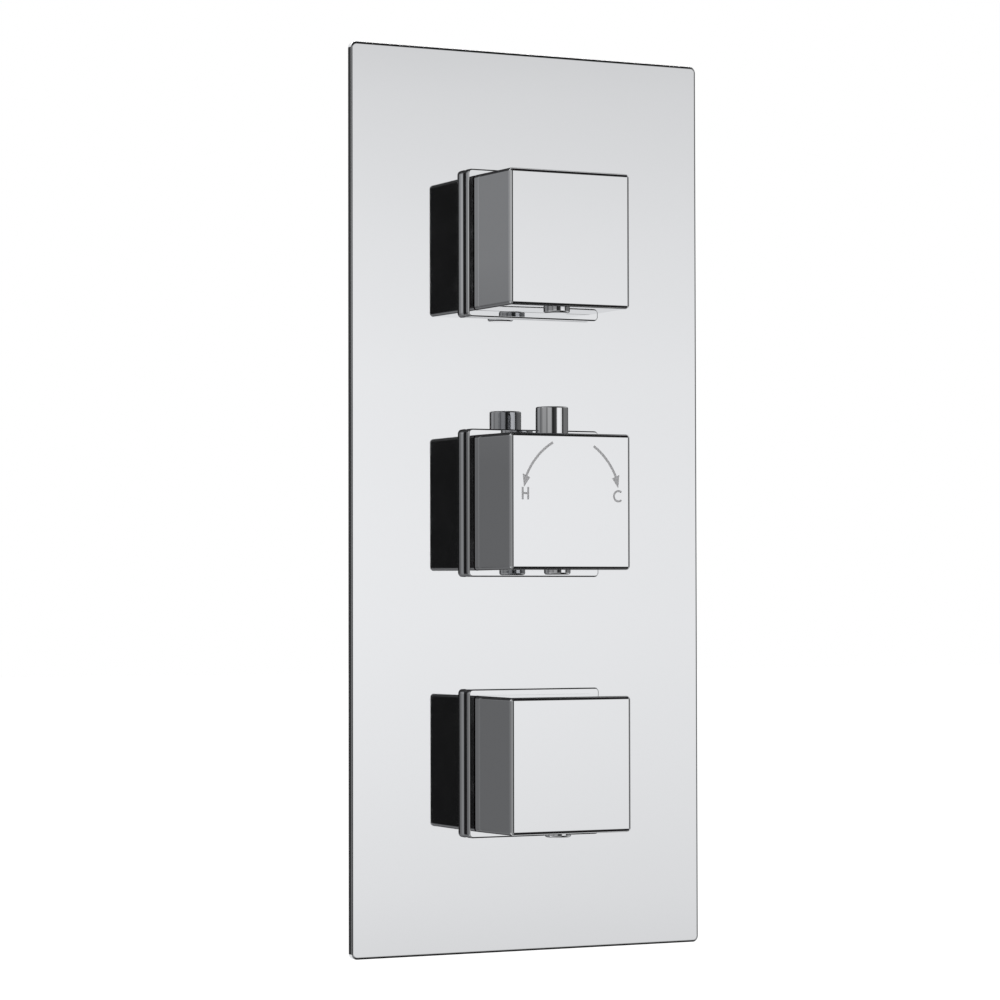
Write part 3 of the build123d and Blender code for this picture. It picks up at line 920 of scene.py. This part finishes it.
@dataclass
class CubeHandle:
    """A die-cast cube handle: rounded outside, hollow behind, with a square hub on the spindle."""

    draft: float = 0.3
    edge: float = 1.25
    wall: float = 3.0
    front_wall: float = 3.2
    cavity_corner: float = 2.5
    hub: float = 14.0
    hub_length: dict[Level, float] = field(
        default_factory=lambda: {Level.UPPER: 16.5, Level.MIDDLE: 14.5, Level.LOWER: 16.5}
    )
    bore_radius: float = 4.05
    bore_floor: float = 1.5
    screw_depth: float = -23.3
    screw_radius: float = 2.05
    cap_radius: float = 4.65
    cap_pocket: float = 4.5
    boss_half: float = 6.5
    button_depth: float = -19.7
    button_radius: float = 5.66
    button_flange_radius: float = 6.4
    guide_half: float = 7.4
    guide_bottom: float = 14.3
    button_shoulder: float = 19.4
    slot_half: float = 2.8
    slot_top: float = 17.5
    marks: TemperatureMarks = field(default_factory=TemperatureMarks)

    def build(self, level: Level) -> list[Piece]:
        """Models a handle over its CAD node.

        Args:
            level: which of the three handles it is.

        Returns:
            The handle, and the engraved marks where it has them.
        """
        node = HANDLE_NODE[level]
        low, high = to_millimetres(node)
        centre = Vector((0, 0, (low.z + high.z) / 2))
        low, high = low - centre, high - centre
        shell = self.shell(f"cube_handle_{level.value}", low, high, self.hub_length[level])
        self.add_screw_boss(shell, low, high)
        if level is Level.MIDDLE:
            self.add_button_guide(shell, high)
        self.drill(shell, low, high, self.hub_length[level])
        made = []
        if level is Level.MIDDLE:
            self.drill_button(shell, high)
            marks = self.marks.build(low.y)
            combine(shell, duplicate(marks, "mark_cutter", (0, 0, 0)), self_touching=True)
            fill = block("mark_floor", (low.x, low.y + 0.04, low.z), (high.x, low.y + 1, high.z))
            combine(marks, fill, "INTERSECT", self_touching=True)
            made.append(finish_piece(marks, MARK_GREY, KNOB_BODY[level]))
        shell.location = centre
        activate(shell)
        bpy.ops.object.transform_apply(location=True, rotation=False, scale=False)
        made.append(finish_piece(shell, KNOB_CHROME, KNOB_BODY[level], node))
        return made

    def shell(self, name: str, low: Vector, high: Vector, hub_length: float) -> Piece:
        """The cube with its cavity and hub, drafted towards the front and rounded."""
        cube = block(name, low, high)
        cavity = high.y - low.y - self.front_wall
        with shaping(cube):
            pick_faces(cube, lambda middle, normal: normal.y > 0.9)
            bpy.ops.mesh.inset(thickness=self.wall)
            bpy.ops.mesh.extrude_region_move(TRANSFORM_OT_translate={"value": (0, -cavity, 0)})
            bpy.ops.mesh.inset(thickness=high.x - self.wall - self.hub / 2)
            bpy.ops.mesh.extrude_region_move(TRANSFORM_OT_translate={"value": (0, hub_length, 0)})
        with shaping(cube, "EDGE"):
            inner = high.x - self.wall
            pick_edges(cube, lambda a, b: near(abs(a.x), inner) and near(abs(a.z), inner)
                       and near(a.x, b.x) and near(a.z, b.z))
            bpy.ops.mesh.bevel(offset=self.cavity_corner, segments=5)
        draft_sides(cube, low, high, self.draft)
        with shaping(cube, "EDGE"):
            pick_edges(cube, lambda a, b: self.is_outer(a, high) and self.is_outer(b, high)
                       and not (near(a.y, high.y) and near(b.y, high.y)))
            bpy.ops.mesh.bevel(offset=self.edge, segments=5)
        return cube

    def is_outer(self, corner: Vector, high: Vector) -> bool:
        """Whether a corner is one of the cube's eight outer ones."""
        return min(abs(corner.x), abs(corner.z)) > high.x - self.wall / 2

    def add_screw_boss(self, shell: Piece, low: Vector, high: Vector) -> None:
        """Joins on the boss round the screw and its cap, between hub and underside."""
        boss = block(
            "boss",
            (-self.boss_half, low.y + self.front_wall - 1, low.z + self.wall - 1),
            (self.boss_half, self.screw_depth + self.boss_half, -self.hub / 2 + 1),
        )
        combine(shell, boss, "UNION")

    def add_button_guide(self, shell: Piece, high: Vector) -> None:
        """Joins on the square guide that the button slides in."""
        guide = block(
            "guide",
            (-self.guide_half, self.button_depth - self.guide_half, self.guide_bottom),
            (self.guide_half, self.button_depth + self.guide_half, high.z - self.wall + 1),
        )
        combine(shell, guide, "UNION")

    def drill(self, shell: Piece, low: Vector, high: Vector, hub_length: float) -> None:
        """Drills the hub for the spindle, and the underside for the screw and its cap."""
        start = low.y + self.front_wall + self.bore_floor
        end = low.y + self.front_wall + hub_length + 1
        combine(shell, rod("bore", "Y", (0, (start + end) / 2, 0), self.bore_radius, end - start, 64))
        middle = (0, self.screw_depth, (low.z - 1) / 2)
        combine(shell, rod("screw_hole", "Z", middle, self.screw_radius, -low.z + 1, 48))
        pocket = (0, self.screw_depth, low.z + self.cap_pocket / 2 - 1)
        combine(shell, rod("cap_pocket", "Z", pocket, self.cap_radius, self.cap_pocket + 2, 64))

    def drill_button(self, shell: Piece, high: Vector) -> None:
        """Bores the guide for the button and its flange, and slots it for the catch spring."""
        centre = (self.button_depth, (self.guide_bottom + high.z) / 2)
        length = high.z - self.guide_bottom + 2
        hole = rod("button_bore", "Z", (0, *centre), self.button_radius, length, 96)
        combine(shell, hole)
        bottom = self.guide_bottom - 1
        middle = (self.button_shoulder + bottom) / 2
        flange = rod(
            "flange_bore", "Z", (0, self.button_depth, middle),
            self.button_flange_radius, self.button_shoulder - bottom, 96,
        )
        combine(shell, flange)
        slot = block(
            "slot",
            (-self.slot_half, self.button_depth, bottom),
            (self.slot_half, self.button_depth + self.guide_half + 1, self.slot_top),
        )
        combine(shell, slot)


@dataclass
class OverrideButton:
    """The turned push button with an eased rim, a shallow dished top and a flange below."""

    radius: float = 5.6
    rim: float = 0.5
    dish_inset: float = 1.1
    dish_depth: float = 0.25
    flange_radius: float = 6.3
    flange_height: float = 2.0
    sides: int = 128

    def build(self) -> Piece:
        """Models the button over its CAD node.

        Returns:
            The finished button.
        """
        low, high = to_millimetres("override_button")
        depth = (low.y + high.y) / 2
        middle = (0, depth, (low.z + high.z) / 2)
        button = rod("override_push_button", "Z", middle, self.radius, high.z - low.z, self.sides)
        with shaping(button):
            pick_faces(button, lambda middle, normal: normal.z > 0.9)
            bpy.ops.mesh.inset(thickness=self.dish_inset)
            bpy.ops.mesh.inset(thickness=self.dish_depth, depth=-self.dish_depth)
        with shaping(button, "EDGE"):
            pick_edges(button, lambda a, b: near(a.z, high.z) and near(b.z, high.z)
                       and math.hypot(a.x, a.y - depth) > self.radius - 0.1)
            bpy.ops.mesh.bevel(offset=self.rim, segments=5)
        flange_middle = (0, depth, low.z + self.flange_height / 2)
        flange = rod("flange", "Z", flange_middle, self.flange_radius, self.flange_height, self.sides)
        combine(button, flange, "UNION")
        return finish_piece(button, KNOB_CHROME, "override", "override_button")


@dataclass
class ScrewCap:
    """The domed plug over a handle's grub screw."""

    radius: float = 4.55
    dome: float = 0.8
    sides: int = 96

    def build(self) -> list[Piece]:
        """Models one cap and copies it to the three handles.

        Returns:
            The three caps.
        """
        low, high = to_millimetres("screw_cap_middle")
        middle = (0, (low.y + high.y) / 2, (low.z + high.z) / 2)
        cap = rod("cap_pattern", "Z", middle, self.radius, high.z - low.z, self.sides)
        with shaping(cap, "EDGE"):
            pick_edges(cap, lambda a, b: near(a.z, low.z) and near(b.z, low.z))
            bpy.ops.mesh.bevel(offset=self.dome, segments=8)
        with shaping(cap, "EDGE"):
            pick_edges(cap, lambda a, b: near(a.z, high.z) and near(b.z, high.z))
            bpy.ops.mesh.bevel(offset=0.3, segments=2)
        made = []
        for level in Level:
            node = f"screw_cap_{level.value}"
            shift = to_millimetres(node)[0].z - low.z
            copy = duplicate(cap, f"domed_cap_{level.value}", (0, 0, shift))
            made.append(finish_piece(copy, KNOB_CHROME, KNOB_BODY[level], node))
        bpy.data.objects.remove(cap)
        return made


@dataclass
class PipeThread:
    """The female half-inch pipe thread in each of the valve's four connections."""

    root_radius: float = 10.45
    crest_radius: float = 9.35
    pitch: float = 1.814
    turns: int = 6
    steps: int = 40
    depth: float = 33.0
    bore_length: float = 12.0
    inlet_mouth: float = 45.0
    outlet_mouth: float = 138.0
    lead_in: float = 0.5

    def mouths(self) -> list[tuple[str, int]]:
        """Each connection's axis and the side it opens to: the inlets across, the outlets up and down."""
        return [(axis, side) for axis in ("X", "Z") for side in (-1, 1)]

    def bore(self, axis: str, side: int) -> Piece:
        """The cutter that opens one connection to the thread's roots."""
        mouth = self.inlet_mouth if axis == "X" else self.outlet_mouth
        length = self.bore_length + 1
        along = side * (mouth - self.bore_length + length / 2)
        centre = (along, self.depth, 0) if axis == "X" else (0, self.depth, along)
        return rod("thread_bore", axis, centre, self.root_radius, length, 96)

    def build(self) -> list[Piece]:
        """Models one thread's ridge round the upright axis, and turns a copy into each connection.

        Returns:
            The four ridges.
        """
        pattern = self.ridge()
        made = []
        for axis, side in self.mouths():
            across = axis == "X"
            mouth = self.inlet_mouth if across else self.outlet_mouth
            start = mouth - self.lead_in - self.pitch * (self.turns + 1)
            name = "inlet" if across else "outlet"
            copy = duplicate(pattern, f"{name}_thread_{'right' if side > 0 else 'left'}", (0, 0, start))
            turn = side * math.pi / 2 if across else (0 if side > 0 else math.pi)
            copy.rotation_euler = (0, turn, 0)
            copy.location = (0, self.depth, 0)
            activate(copy)
            bpy.ops.object.transform_apply(location=True, rotation=True, scale=True)
            made.append(finish_piece(copy, TURNED_BRASS[Level.MIDDLE], "valve", smooth=20.0))
        bpy.data.objects.remove(pattern)
        return made

    def ridge(self) -> Piece:
        """A closed three-sided ridge wound up the upright axis, rooted in the bore's wall."""
        half = self.pitch * 0.46
        root = self.root_radius + 0.2
        corners = [(root, 0, -half), (self.crest_radius, 0, 0), (root, 0, half)]
        mesh = bpy.data.meshes.new("thread_pattern")
        mesh.from_pydata(corners, [(0, 1), (1, 2), (2, 0)], [])
        made = bpy.data.objects.new("thread_pattern", mesh)
        bpy.context.scene.collection.objects.link(made)
        apply_modifier(
            made,
            "SCREW",
            {
                "axis": "Z",
                "angle": 2 * math.pi,
                "screw_offset": self.pitch,
                "iterations": self.turns,
                "steps": self.steps,
                "render_steps": self.steps,
            },
        )
        with shaping(made, "VERT"):
            bpy.ops.mesh.select_all(action="SELECT")
            bpy.ops.mesh.remove_doubles(threshold=0.001)
            bpy.ops.mesh.fill_holes(sides=4)
            bpy.ops.mesh.select_all(action="SELECT")
            bpy.ops.mesh.normals_make_consistent(inside=False)
        return made


@dataclass
class InWallValve:
    """The casting and what is screwed to it behind the plate, carried over from the CAD model."""

    casting_edge: float = 0.8
    sheet_edge: float = 0.25
    screw_edge: float = 0.3
    thread: PipeThread = field(default_factory=PipeThread)

    def build(self) -> list[Piece]:
        """Dresses the hidden pieces and rounds the ones that show from behind.

        Returns:
            The pieces that stand for CAD nodes.
        """
        return [
            self.casting(),
            *self.thread.build(),
            self.eased("manifold_plugs", "hexagon_plugs", TURNED_BRASS[Level.MIDDLE], self.screw_edge),
            self.eased("mounting_bracket", "wall_bracket", ZINC, self.sheet_edge),
            self.eased("bracket_screws", "hexagon_screws", ZINC, self.screw_edge),
        ]

    def casting(self) -> Piece:
        """The brass body, with its four pipe connections bored out to the roots of their threads."""
        body = cad_copy("valve_body", "cast_valve_body")
        ease_edges(body, self.casting_edge, 2)
        for axis, side in self.thread.mouths():
            combine(body, self.thread.bore(axis, side))
        return finish_piece(body, CAST_BRASS, "valve", "valve_body", smooth=40.0)

    def eased(self, node: str, name: str, finish: Finish, width: float) -> Piece:
        """A copy of a CAD node with its sharp edges rounded."""
        copy = cad_copy(node, name)
        ease_edges(copy, width, 2)
        return finish_piece(copy, finish, "valve", node, smooth=40.0)


@dataclass
class Springs:
    """The two springs inside, which shorten as what they push on moves towards their seats.

    Each is modelled in one shape, at the length of its CAD node.
    """

    wire_radius: float = 0.6
    coil_radius: float = 7.6
    turns: float = 2.5
    steps: int = 120
    shuttle_travel: float = 0.8
    strip_edge: float = 0.08
    hub_top: float = 7.0
    button_travel: float = 3.0

    def build(self) -> list[Piece]:
        """Makes both springs.

        Returns:
            The coil on the shuttle and the bent strip under the button.
        """
        return [self.coil(), self.catch()]

    def coil(self) -> Piece:
        """The round-wire coil between the shuttle and the ring at the cartridge's end.

        Returns:
            The spring.
        """
        low, high = to_millimetres("shuttle_spring")
        length = high.y - low.y
        deselect()
        start = (self.coil_radius, low.y + self.wire_radius, 0)
        bpy.ops.mesh.primitive_circle_add(vertices=16, radius=self.wire_radius, location=start)
        wire = bpy.context.active_object
        wire.name = "shuttle_coil"
        bpy.ops.object.transform_apply(location=True, rotation=True, scale=True)
        apply_modifier(
            wire,
            "SCREW",
            {
                "axis": "Y",
                "angle": self.turns * 2 * math.pi,
                "screw_offset": length - 2 * self.wire_radius,
                "steps": self.steps,
                "render_steps": self.steps,
            },
        )
        with shaping(wire, "VERT"):
            bpy.ops.mesh.select_all(action="SELECT")
            bpy.ops.mesh.fill_holes(sides=0)
            bpy.ops.mesh.select_all(action="SELECT")
            bpy.ops.mesh.normals_make_consistent(inside=False)
        finish_piece(wire, STAINLESS, "shuttle", "shuttle_spring", smooth=40.0)
        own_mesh(wire)
        return wire

    def catch(self) -> Piece:
        """The bent strip under the button, which stands on the hub."""
        strip = cad_copy("catch_spring", "catch_strip")
        ease_edges(strip, self.strip_edge, 1)
        finish_piece(strip, STAINLESS, "temperature_knob", "catch_spring", smooth=40.0)
        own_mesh(strip)
        return strip


# The finish of every CAD node that stays in view or inside, by the start of its name
NODE_FINISH: dict[str, Finish] = {
    "plate_gasket": FOAM,
    "grub_screw": STAINLESS,
    "flow_fixed_disc": CERAMIC,
    "flow_moving_disc": CERAMIC,
    "flow_seat_seal": RUBBER,
    "check_valve": NYLON,
    "thermo_shuttle": NYLON,
    "regulating_plunger": NYLON,
    "temperature_stop_ring": ACETAL,
    "wax_element": COPPER,
}


def dress_nodes() -> int:
    """Gives every CAD node its finish, turned brass where none is named.

    Returns:
        How many nodes were dressed.
    """
    for name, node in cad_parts.items():
        chosen = [finish for start, finish in NODE_FINISH.items() if name.startswith(start)]
        level = next((one for one in FLOW_LEVELS if name.endswith(one.value)), Level.MIDDLE)
        finish = chosen[0] if chosen else TURNED_BRASS[level]
        node.data.materials.clear()
        node.data.materials.append(finish.material())
    return len(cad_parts)


def ramp(tree: Tree, value: Socket, stops: Stops, low: float, high: float) -> Socket:
    """A stepless ramp through stops, evenly scaled from the lowest to the highest place.

    Args:
        tree: the node tree to add to.
        value: what the ramp reads.
        stops: places and the levels there.
        low: the value at the first stop.
        high: the value at the last stop.

    Returns:
        The socket of the ramp's value.
    """
    share = add_node(
        tree, "ShaderNodeMapRange", inputs={"Value": value, "From Min": low, "From Max": high}
    )
    peak = max(level for place, level in stops)
    node = add_node(tree, "ShaderNodeValToRGB", inputs={"Fac": share.outputs["Result"]})
    first, last = stops[0], stops[-1]
    elements = node.color_ramp.elements
    for place, level in stops[1:-1]:
        elements.new((place - first[0]) / (last[0] - first[0]))
    for element, (place, level) in zip(elements, stops):
        element.color = (level / peak, level / peak, level / peak, 1.0)
    scaled = add_node(
        tree, "ShaderNodeMath", {"operation": "MULTIPLY"}, {0: node.outputs["Color"], 1: peak}
    )
    return scaled.outputs["Value"]


@dataclass(frozen=True)
class ReflectionWall:
    """A curved screen that only mirrors see, standing on part of a circle round the object.

    Tones are brightnesses by angle, and heights are shares of them by height in metres. Angles run from
    straight ahead of the plate, in degrees, positive to the right as the camera sees it.
    """

    name: str
    radius: float
    tones: Stops
    heights: Stops = ((-2.2, 1.0), (2.2, 1.0))
    step: float = 2.0

    def build(self) -> Piece:
        """Sweeps an upright edge round the object and lights it.

        Returns:
            The screen, as a stage piece.
        """
        start, end = self.tones[0][0], self.tones[-1][0]
        bottom, top = self.heights[0][0], self.heights[-1][0]
        angle = math.radians(start)
        foot = Vector((math.sin(angle), -math.cos(angle), 0)) * self.radius
        mesh = bpy.data.meshes.new(self.name)
        mesh.from_pydata([foot + Vector((0, 0, bottom)), foot + Vector((0, 0, top))], [(0, 1)], [])
        made = bpy.data.objects.new(self.name, mesh)
        bpy.context.scene.collection.objects.link(made)
        with shaping(made, "VERT"):
            bpy.ops.mesh.select_all(action="SELECT")
            bpy.ops.mesh.spin(
                steps=round((end - start) / self.step),
                angle=-math.radians(end - start),
                center=(0, 0, 0),
                axis=(0, 0, 1),
            )
        show_to_mirrors_only(made, self.material(start, end, bottom, top))
        return made

    def material(self, start: float, end: float, bottom: float, top: float) -> bpy.types.Material:
        """The screen's light, as one ramp over the angle times another over the height."""
        material = bpy.data.materials.new(f"{self.name}_light")
        material.use_nodes = True
        tree = material.node_tree
        tree.nodes.clear()
        place = add_node(tree, "ShaderNodeTexCoord").outputs["Object"]
        parts = add_node(tree, "ShaderNodeSeparateXYZ", inputs={0: place})
        ahead = add_node(
            tree, "ShaderNodeMath", {"operation": "MULTIPLY"}, {0: parts.outputs["Y"], 1: -1.0}
        )
        angle = add_node(
            tree,
            "ShaderNodeMath",
            {"operation": "ARCTAN2"},
            {0: parts.outputs["X"], 1: ahead.outputs["Value"]},
        )
        tone = ramp(tree, angle.outputs["Value"], self.tones, math.radians(start), math.radians(end))
        share = ramp(tree, parts.outputs["Z"], self.heights, bottom, top)
        strength = add_node(tree, "ShaderNodeMath", {"operation": "MULTIPLY"}, {0: tone, 1: share})
        glow = add_node(
            tree,
            "ShaderNodeEmission",
            inputs={"Color": linear("#FFFFFF"), "Strength": strength.outputs["Value"]},
        )
        add_node(tree, "ShaderNodeOutputMaterial", inputs={"Surface": glow.outputs[0]})
        return material


# The room above and below eye level, where few mirrors of the front look: light nearly all round
UPPER_COVE = ReflectionWall(
    "upper_cove",
    5.9,
    (
        (-180.0, 1.0), (-130.0, 1.0), (-110.0, 0.5), (-50.0, 0.45), (-32.0, 0.07), (45.0, 0.07),
        (60.0, 0.45), (110.0, 0.6), (130.0, 1.0), (180.0, 1.0),
    ),
    ((1.25, 0.6), (1.5, 1.0), (2.2, 1.0)),
)
LOWER_COVE = ReflectionWall(
    "lower_cove",
    5.9,
    (
        (-180.0, 1.0), (-130.0, 1.0), (-110.0, 0.5), (-50.0, 0.45), (-20.0, 0.22), (10.0, 0.26),
        (20.0, 0.14), (45.0, 0.14), (60.0, 0.45), (110.0, 0.6), (130.0, 1.0), (180.0, 1.0),
    ),
    ((-2.2, 1.0), (-1.5, 1.0), (-1.25, 0.6)),
)

# What the photograph's mirrors show. The white screen is brightest level with the object, the grey one
# gets lighter above it, and the room is dark between them and beside them. Behind the plate, where hardly
# a mirror of the front looks, the room is white for the metal that is seen from the back.
WHITE_SCREEN = ReflectionWall(
    "white_screen",
    5.0,
    ((6.5, 0.9), (14.0, 1.1), (22.0, 1.17), (26.0, 1.135), (32.0, 1.09), (38.0, 1.0), (46.0, 0.93)),
    (
        (-1.3, 0.5), (-0.55, 0.895), (-0.32, 0.955), (-0.08, 0.997), (0.13, 1.0),
        (0.35, 0.985), (0.59, 0.927), (0.84, 0.837), (1.3, 0.55),
    ),
)
GREY_SCREEN = ReflectionWall(
    "grey_screen",
    5.0,
    (
        (-134.0, 0.12), (-104.0, 0.17), (-96.0, 0.34), (-72.0, 0.34), (-66.0, 0.2), (-60.0, 0.21),
        (-56.0, 0.41), (-33.0, 0.41), (-31.0, 0.233), (-26.9, 0.233),
    ),
    ((-1.3, 1.0), (0.2, 1.0), (0.55, 1.6), (1.3, 1.6)),
)
STUDIO_ROOM = ReflectionWall(
    "studio_room",
    6.0,
    (
        (-180.0, 1.0), (-161.0, 1.0), (-157.0, 0.05), (-147.0, 0.05), (-143.0, 0.7), (-137.0, 0.7),
        (-130.0, 0.1), (-60.0, 0.1), (-27.0, 0.013), (-12.0, 0.04), (6.0, 0.09), (50.0, 0.05),
        (58.0, 0.06), (64.0, 0.22), (110.0, 0.2), (122.0, 0.25), (130.0, 0.8), (180.0, 1.0),
    ),
)


def show_to_mirrors_only(made: Piece, material: bpy.types.Material) -> None:
    """Leaves a stage piece out of the picture but for its reflections."""
    made.data.materials.append(material)
    made.visible_camera = False
    made.visible_diffuse = False
    made.visible_shadow = False
    made.visible_transmission = False


@dataclass
class Studio:
    """The camera at the photograph's place, plain soft light, a pale floor and a white backdrop.

    Mirror chrome shows only its surroundings, so curved screens stand round the object for its
    reflections: a white one to the right, a grey one to the left, and a room that is dark in front and
    white behind.
    """

    camera_place: tuple[float, float, float] = (-0.57806, -1.0926, -0.03168)
    camera_yaw: float = 0.4796
    camera_pitch: float = -0.0267
    camera_roll: float = -0.0019
    focal_length: float = 128.52
    floor_height: float = -0.42
    lid_height: float = 2.2
    lid_back: float = 1.0
    ceiling_front: Stops = (
        (-6.0, 0.5), (-2.8, 0.5), (-2.2, 0.06), (0.1, 0.06), (0.7, 0.015), (2.9, 0.015),
        (3.6, 0.5), (6.0, 0.5),
    )
    ground_front: Stops = (
        (-6.0, 0.5), (-2.8, 0.5), (-2.2, 0.28), (0.1, 0.24), (0.7, 0.015), (2.9, 0.015),
        (3.6, 0.5), (6.0, 0.5),
    )

    def build(self) -> None:
        """Sets up everything that isn't part of the object."""
        self.camera()
        self.world()
        self.lights()
        self.floor()
        self.reflections()
        bpy.context.scene.view_settings.view_transform = "Standard"

    def camera(self) -> None:
        """Places the camera by the yaw, pitch and roll that the photograph's perspective gives."""
        data = bpy.data.cameras.new("camera")
        data.lens = self.focal_length
        data.sensor_width = 36.0
        data.clip_start, data.clip_end = 0.01, 50.0
        made = bpy.data.objects.new("camera", data)
        bpy.context.scene.collection.objects.link(made)
        turn = (
            Matrix.Rotation(self.camera_roll, 3, "Y")
            @ Matrix.Rotation(self.camera_pitch, 3, "X")
            @ Matrix.Rotation(self.camera_yaw, 3, "Z")
        )
        right, forward, up = turn[0], turn[1], turn[2]
        facing = Matrix((right, up, -forward)).transposed().to_4x4()
        made.matrix_world = Matrix.Translation(self.camera_place) @ facing
        bpy.context.scene.camera = made

    def world(self) -> None:
        """A white surround for the camera and for mirrors, and a softer one for the light it gives."""
        world = bpy.data.worlds.new("studio")
        bpy.context.scene.world = world
        world.use_nodes = True
        tree = world.node_tree
        tree.nodes.clear()
        strength = add_node(
            tree,
            "ShaderNodeMapRange",
            inputs={"Value": self.seen_directly(tree), "To Min": 0.55, "To Max": 1.0},
        )
        light = add_node(
            tree,
            "ShaderNodeBackground",
            inputs={"Color": linear("#FFFFFF"), "Strength": strength.outputs["Result"]},
        )
        add_node(tree, "ShaderNodeOutputWorld", inputs={"Surface": light.outputs["Background"]})

    def seen_directly(self, tree: Tree) -> Socket:
        """Whether a ray comes from the camera, or from a mirror or clear piece that it sees."""
        path = add_node(tree, "ShaderNodeLightPath")
        first = add_node(
            tree,
            "ShaderNodeMath",
            {"operation": "MAXIMUM"},
            {0: path.outputs["Is Camera Ray"], 1: path.outputs["Is Glossy Ray"]},
        )
        second = add_node(
            tree,
            "ShaderNodeMath",
            {"operation": "MAXIMUM"},
            {0: first.outputs["Value"], 1: path.outputs["Is Transmission Ray"]},
        )
        return second.outputs["Value"]

    def lights(self) -> None:
        """Large soft lamps for the pieces that aren't mirrors.

        The ones behind the wall plane may show in metal, because no mirror of the front reflects them.
        """
        for name, place, size, energy, in_metal in (
            ("key_lamp", (1.2, -1.4, 1.3), 1.2, 22.0, False),
            ("back_left_lamp", (-1.0, 1.7, 1.5), 1.0, 36.0, True),
            ("back_right_lamp", (1.0, 1.7, 1.3), 1.0, 30.0, True),
        ):
            data = bpy.data.lights.new(name, "AREA")
            data.size = size
            data.energy = energy
            lamp = bpy.data.objects.new(name, data)
            bpy.context.scene.collection.objects.link(lamp)
            lamp.location = place
            lamp.rotation_mode = "QUATERNION"
            lamp.rotation_quaternion = (-Vector(place)).to_track_quat("-Z", "Y")
            lamp.visible_glossy = in_metal

    def floor(self) -> None:
        """A pale floor well below the object, which hangs on a wall that isn't shown."""
        deselect()
        bpy.ops.mesh.primitive_plane_add(size=30, location=(0, 0, self.floor_height))
        made = bpy.context.active_object
        made.name = "floor"
        material = bpy.data.materials.new("pale_floor")
        material.use_nodes = True
        tree = material.node_tree
        tree.nodes.clear()
        strength = add_node(
            tree, "ShaderNodeMath", {"operation": "MULTIPLY"}, {0: self.seen_directly(tree), 1: 0.97}
        )
        glow = add_node(
            tree,
            "ShaderNodeEmission",
            inputs={"Color": linear("#FFFFFF"), "Strength": strength.outputs["Value"]},
        )
        matt = add_node(tree, "ShaderNodeBsdfDiffuse", inputs={"Color": linear("#6E6E6E")})
        both = add_node(tree, "ShaderNodeAddShader", inputs={0: glow.outputs[0], 1: matt.outputs[0]})
        add_node(tree, "ShaderNodeOutputMaterial", inputs={"Surface": both.outputs[0]})
        made.data.materials.append(material)
        made.visible_glossy = False

    def reflections(self) -> None:
        """The screens round the object, and the room's ceiling and ground."""
        for screen in (WHITE_SCREEN, GREY_SCREEN, STUDIO_ROOM, UPPER_COVE, LOWER_COVE):
            screen.build()
        for name, side, front in (
            ("room_ceiling", 1, self.ceiling_front),
            ("room_ground", -1, self.ground_front),
        ):
            deselect()
            bpy.ops.mesh.primitive_circle_add(
                vertices=64,
                radius=STUDIO_ROOM.radius,
                fill_type="NGON",
                location=(0, 0, side * self.lid_height),
            )
            lid = bpy.context.active_object
            lid.name = name
            show_to_mirrors_only(lid, self.lid_material(name, front))

    def lid_material(self, name: str, front: Stops) -> bpy.types.Material:
        """The light above or below: white behind the plate, and in front of it by the place across."""
        material = bpy.data.materials.new(f"{name}_light")
        material.use_nodes = True
        tree = material.node_tree
        tree.nodes.clear()
        place = add_node(tree, "ShaderNodeTexCoord").outputs["Object"]
        parts = add_node(tree, "ShaderNodeSeparateXYZ", inputs={0: place})
        behind = add_node(
            tree,
            "ShaderNodeMapRange",
            inputs={"Value": parts.outputs["Y"], "From Min": 0.1, "From Max": 0.7, "To Max": self.lid_back},
        )
        reach = STUDIO_ROOM.radius
        across = ramp(tree, parts.outputs["X"], front, -reach, reach)
        strength = add_node(
            tree, "ShaderNodeMath", {"operation": "MAXIMUM"}, {0: behind.outputs["Result"], 1: across}
        )
        glow = add_node(
            tree,
            "ShaderNodeEmission",
            inputs={"Color": linear("#FFFFFF"), "Strength": strength.outputs["Value"]},
        )
        add_node(tree, "ShaderNodeOutputMaterial", inputs={"Surface": glow.outputs[0]})
        return material


def main() -> None:
    """Builds the object sub-assembly by sub-assembly, then the studio round it."""
    logging.basicConfig(level=logging.INFO, format="%(message)s")
    log.info("dressed %d CAD nodes", dress_nodes())
    pieces = [FacePlate().build(), *Collar().build()]
    handle = CubeHandle()
    for level in Level:
        pieces += handle.build(level)
    pieces += [OverrideButton().build(), *ScrewCap().build()]
    pieces += [*InWallValve().build(), *Springs().build()]
    for piece in pieces:
        log.info("%s: %d faces", piece.name, len(piece.data.polygons))
    Studio().build()


if __name__ == "__main__":
    main()
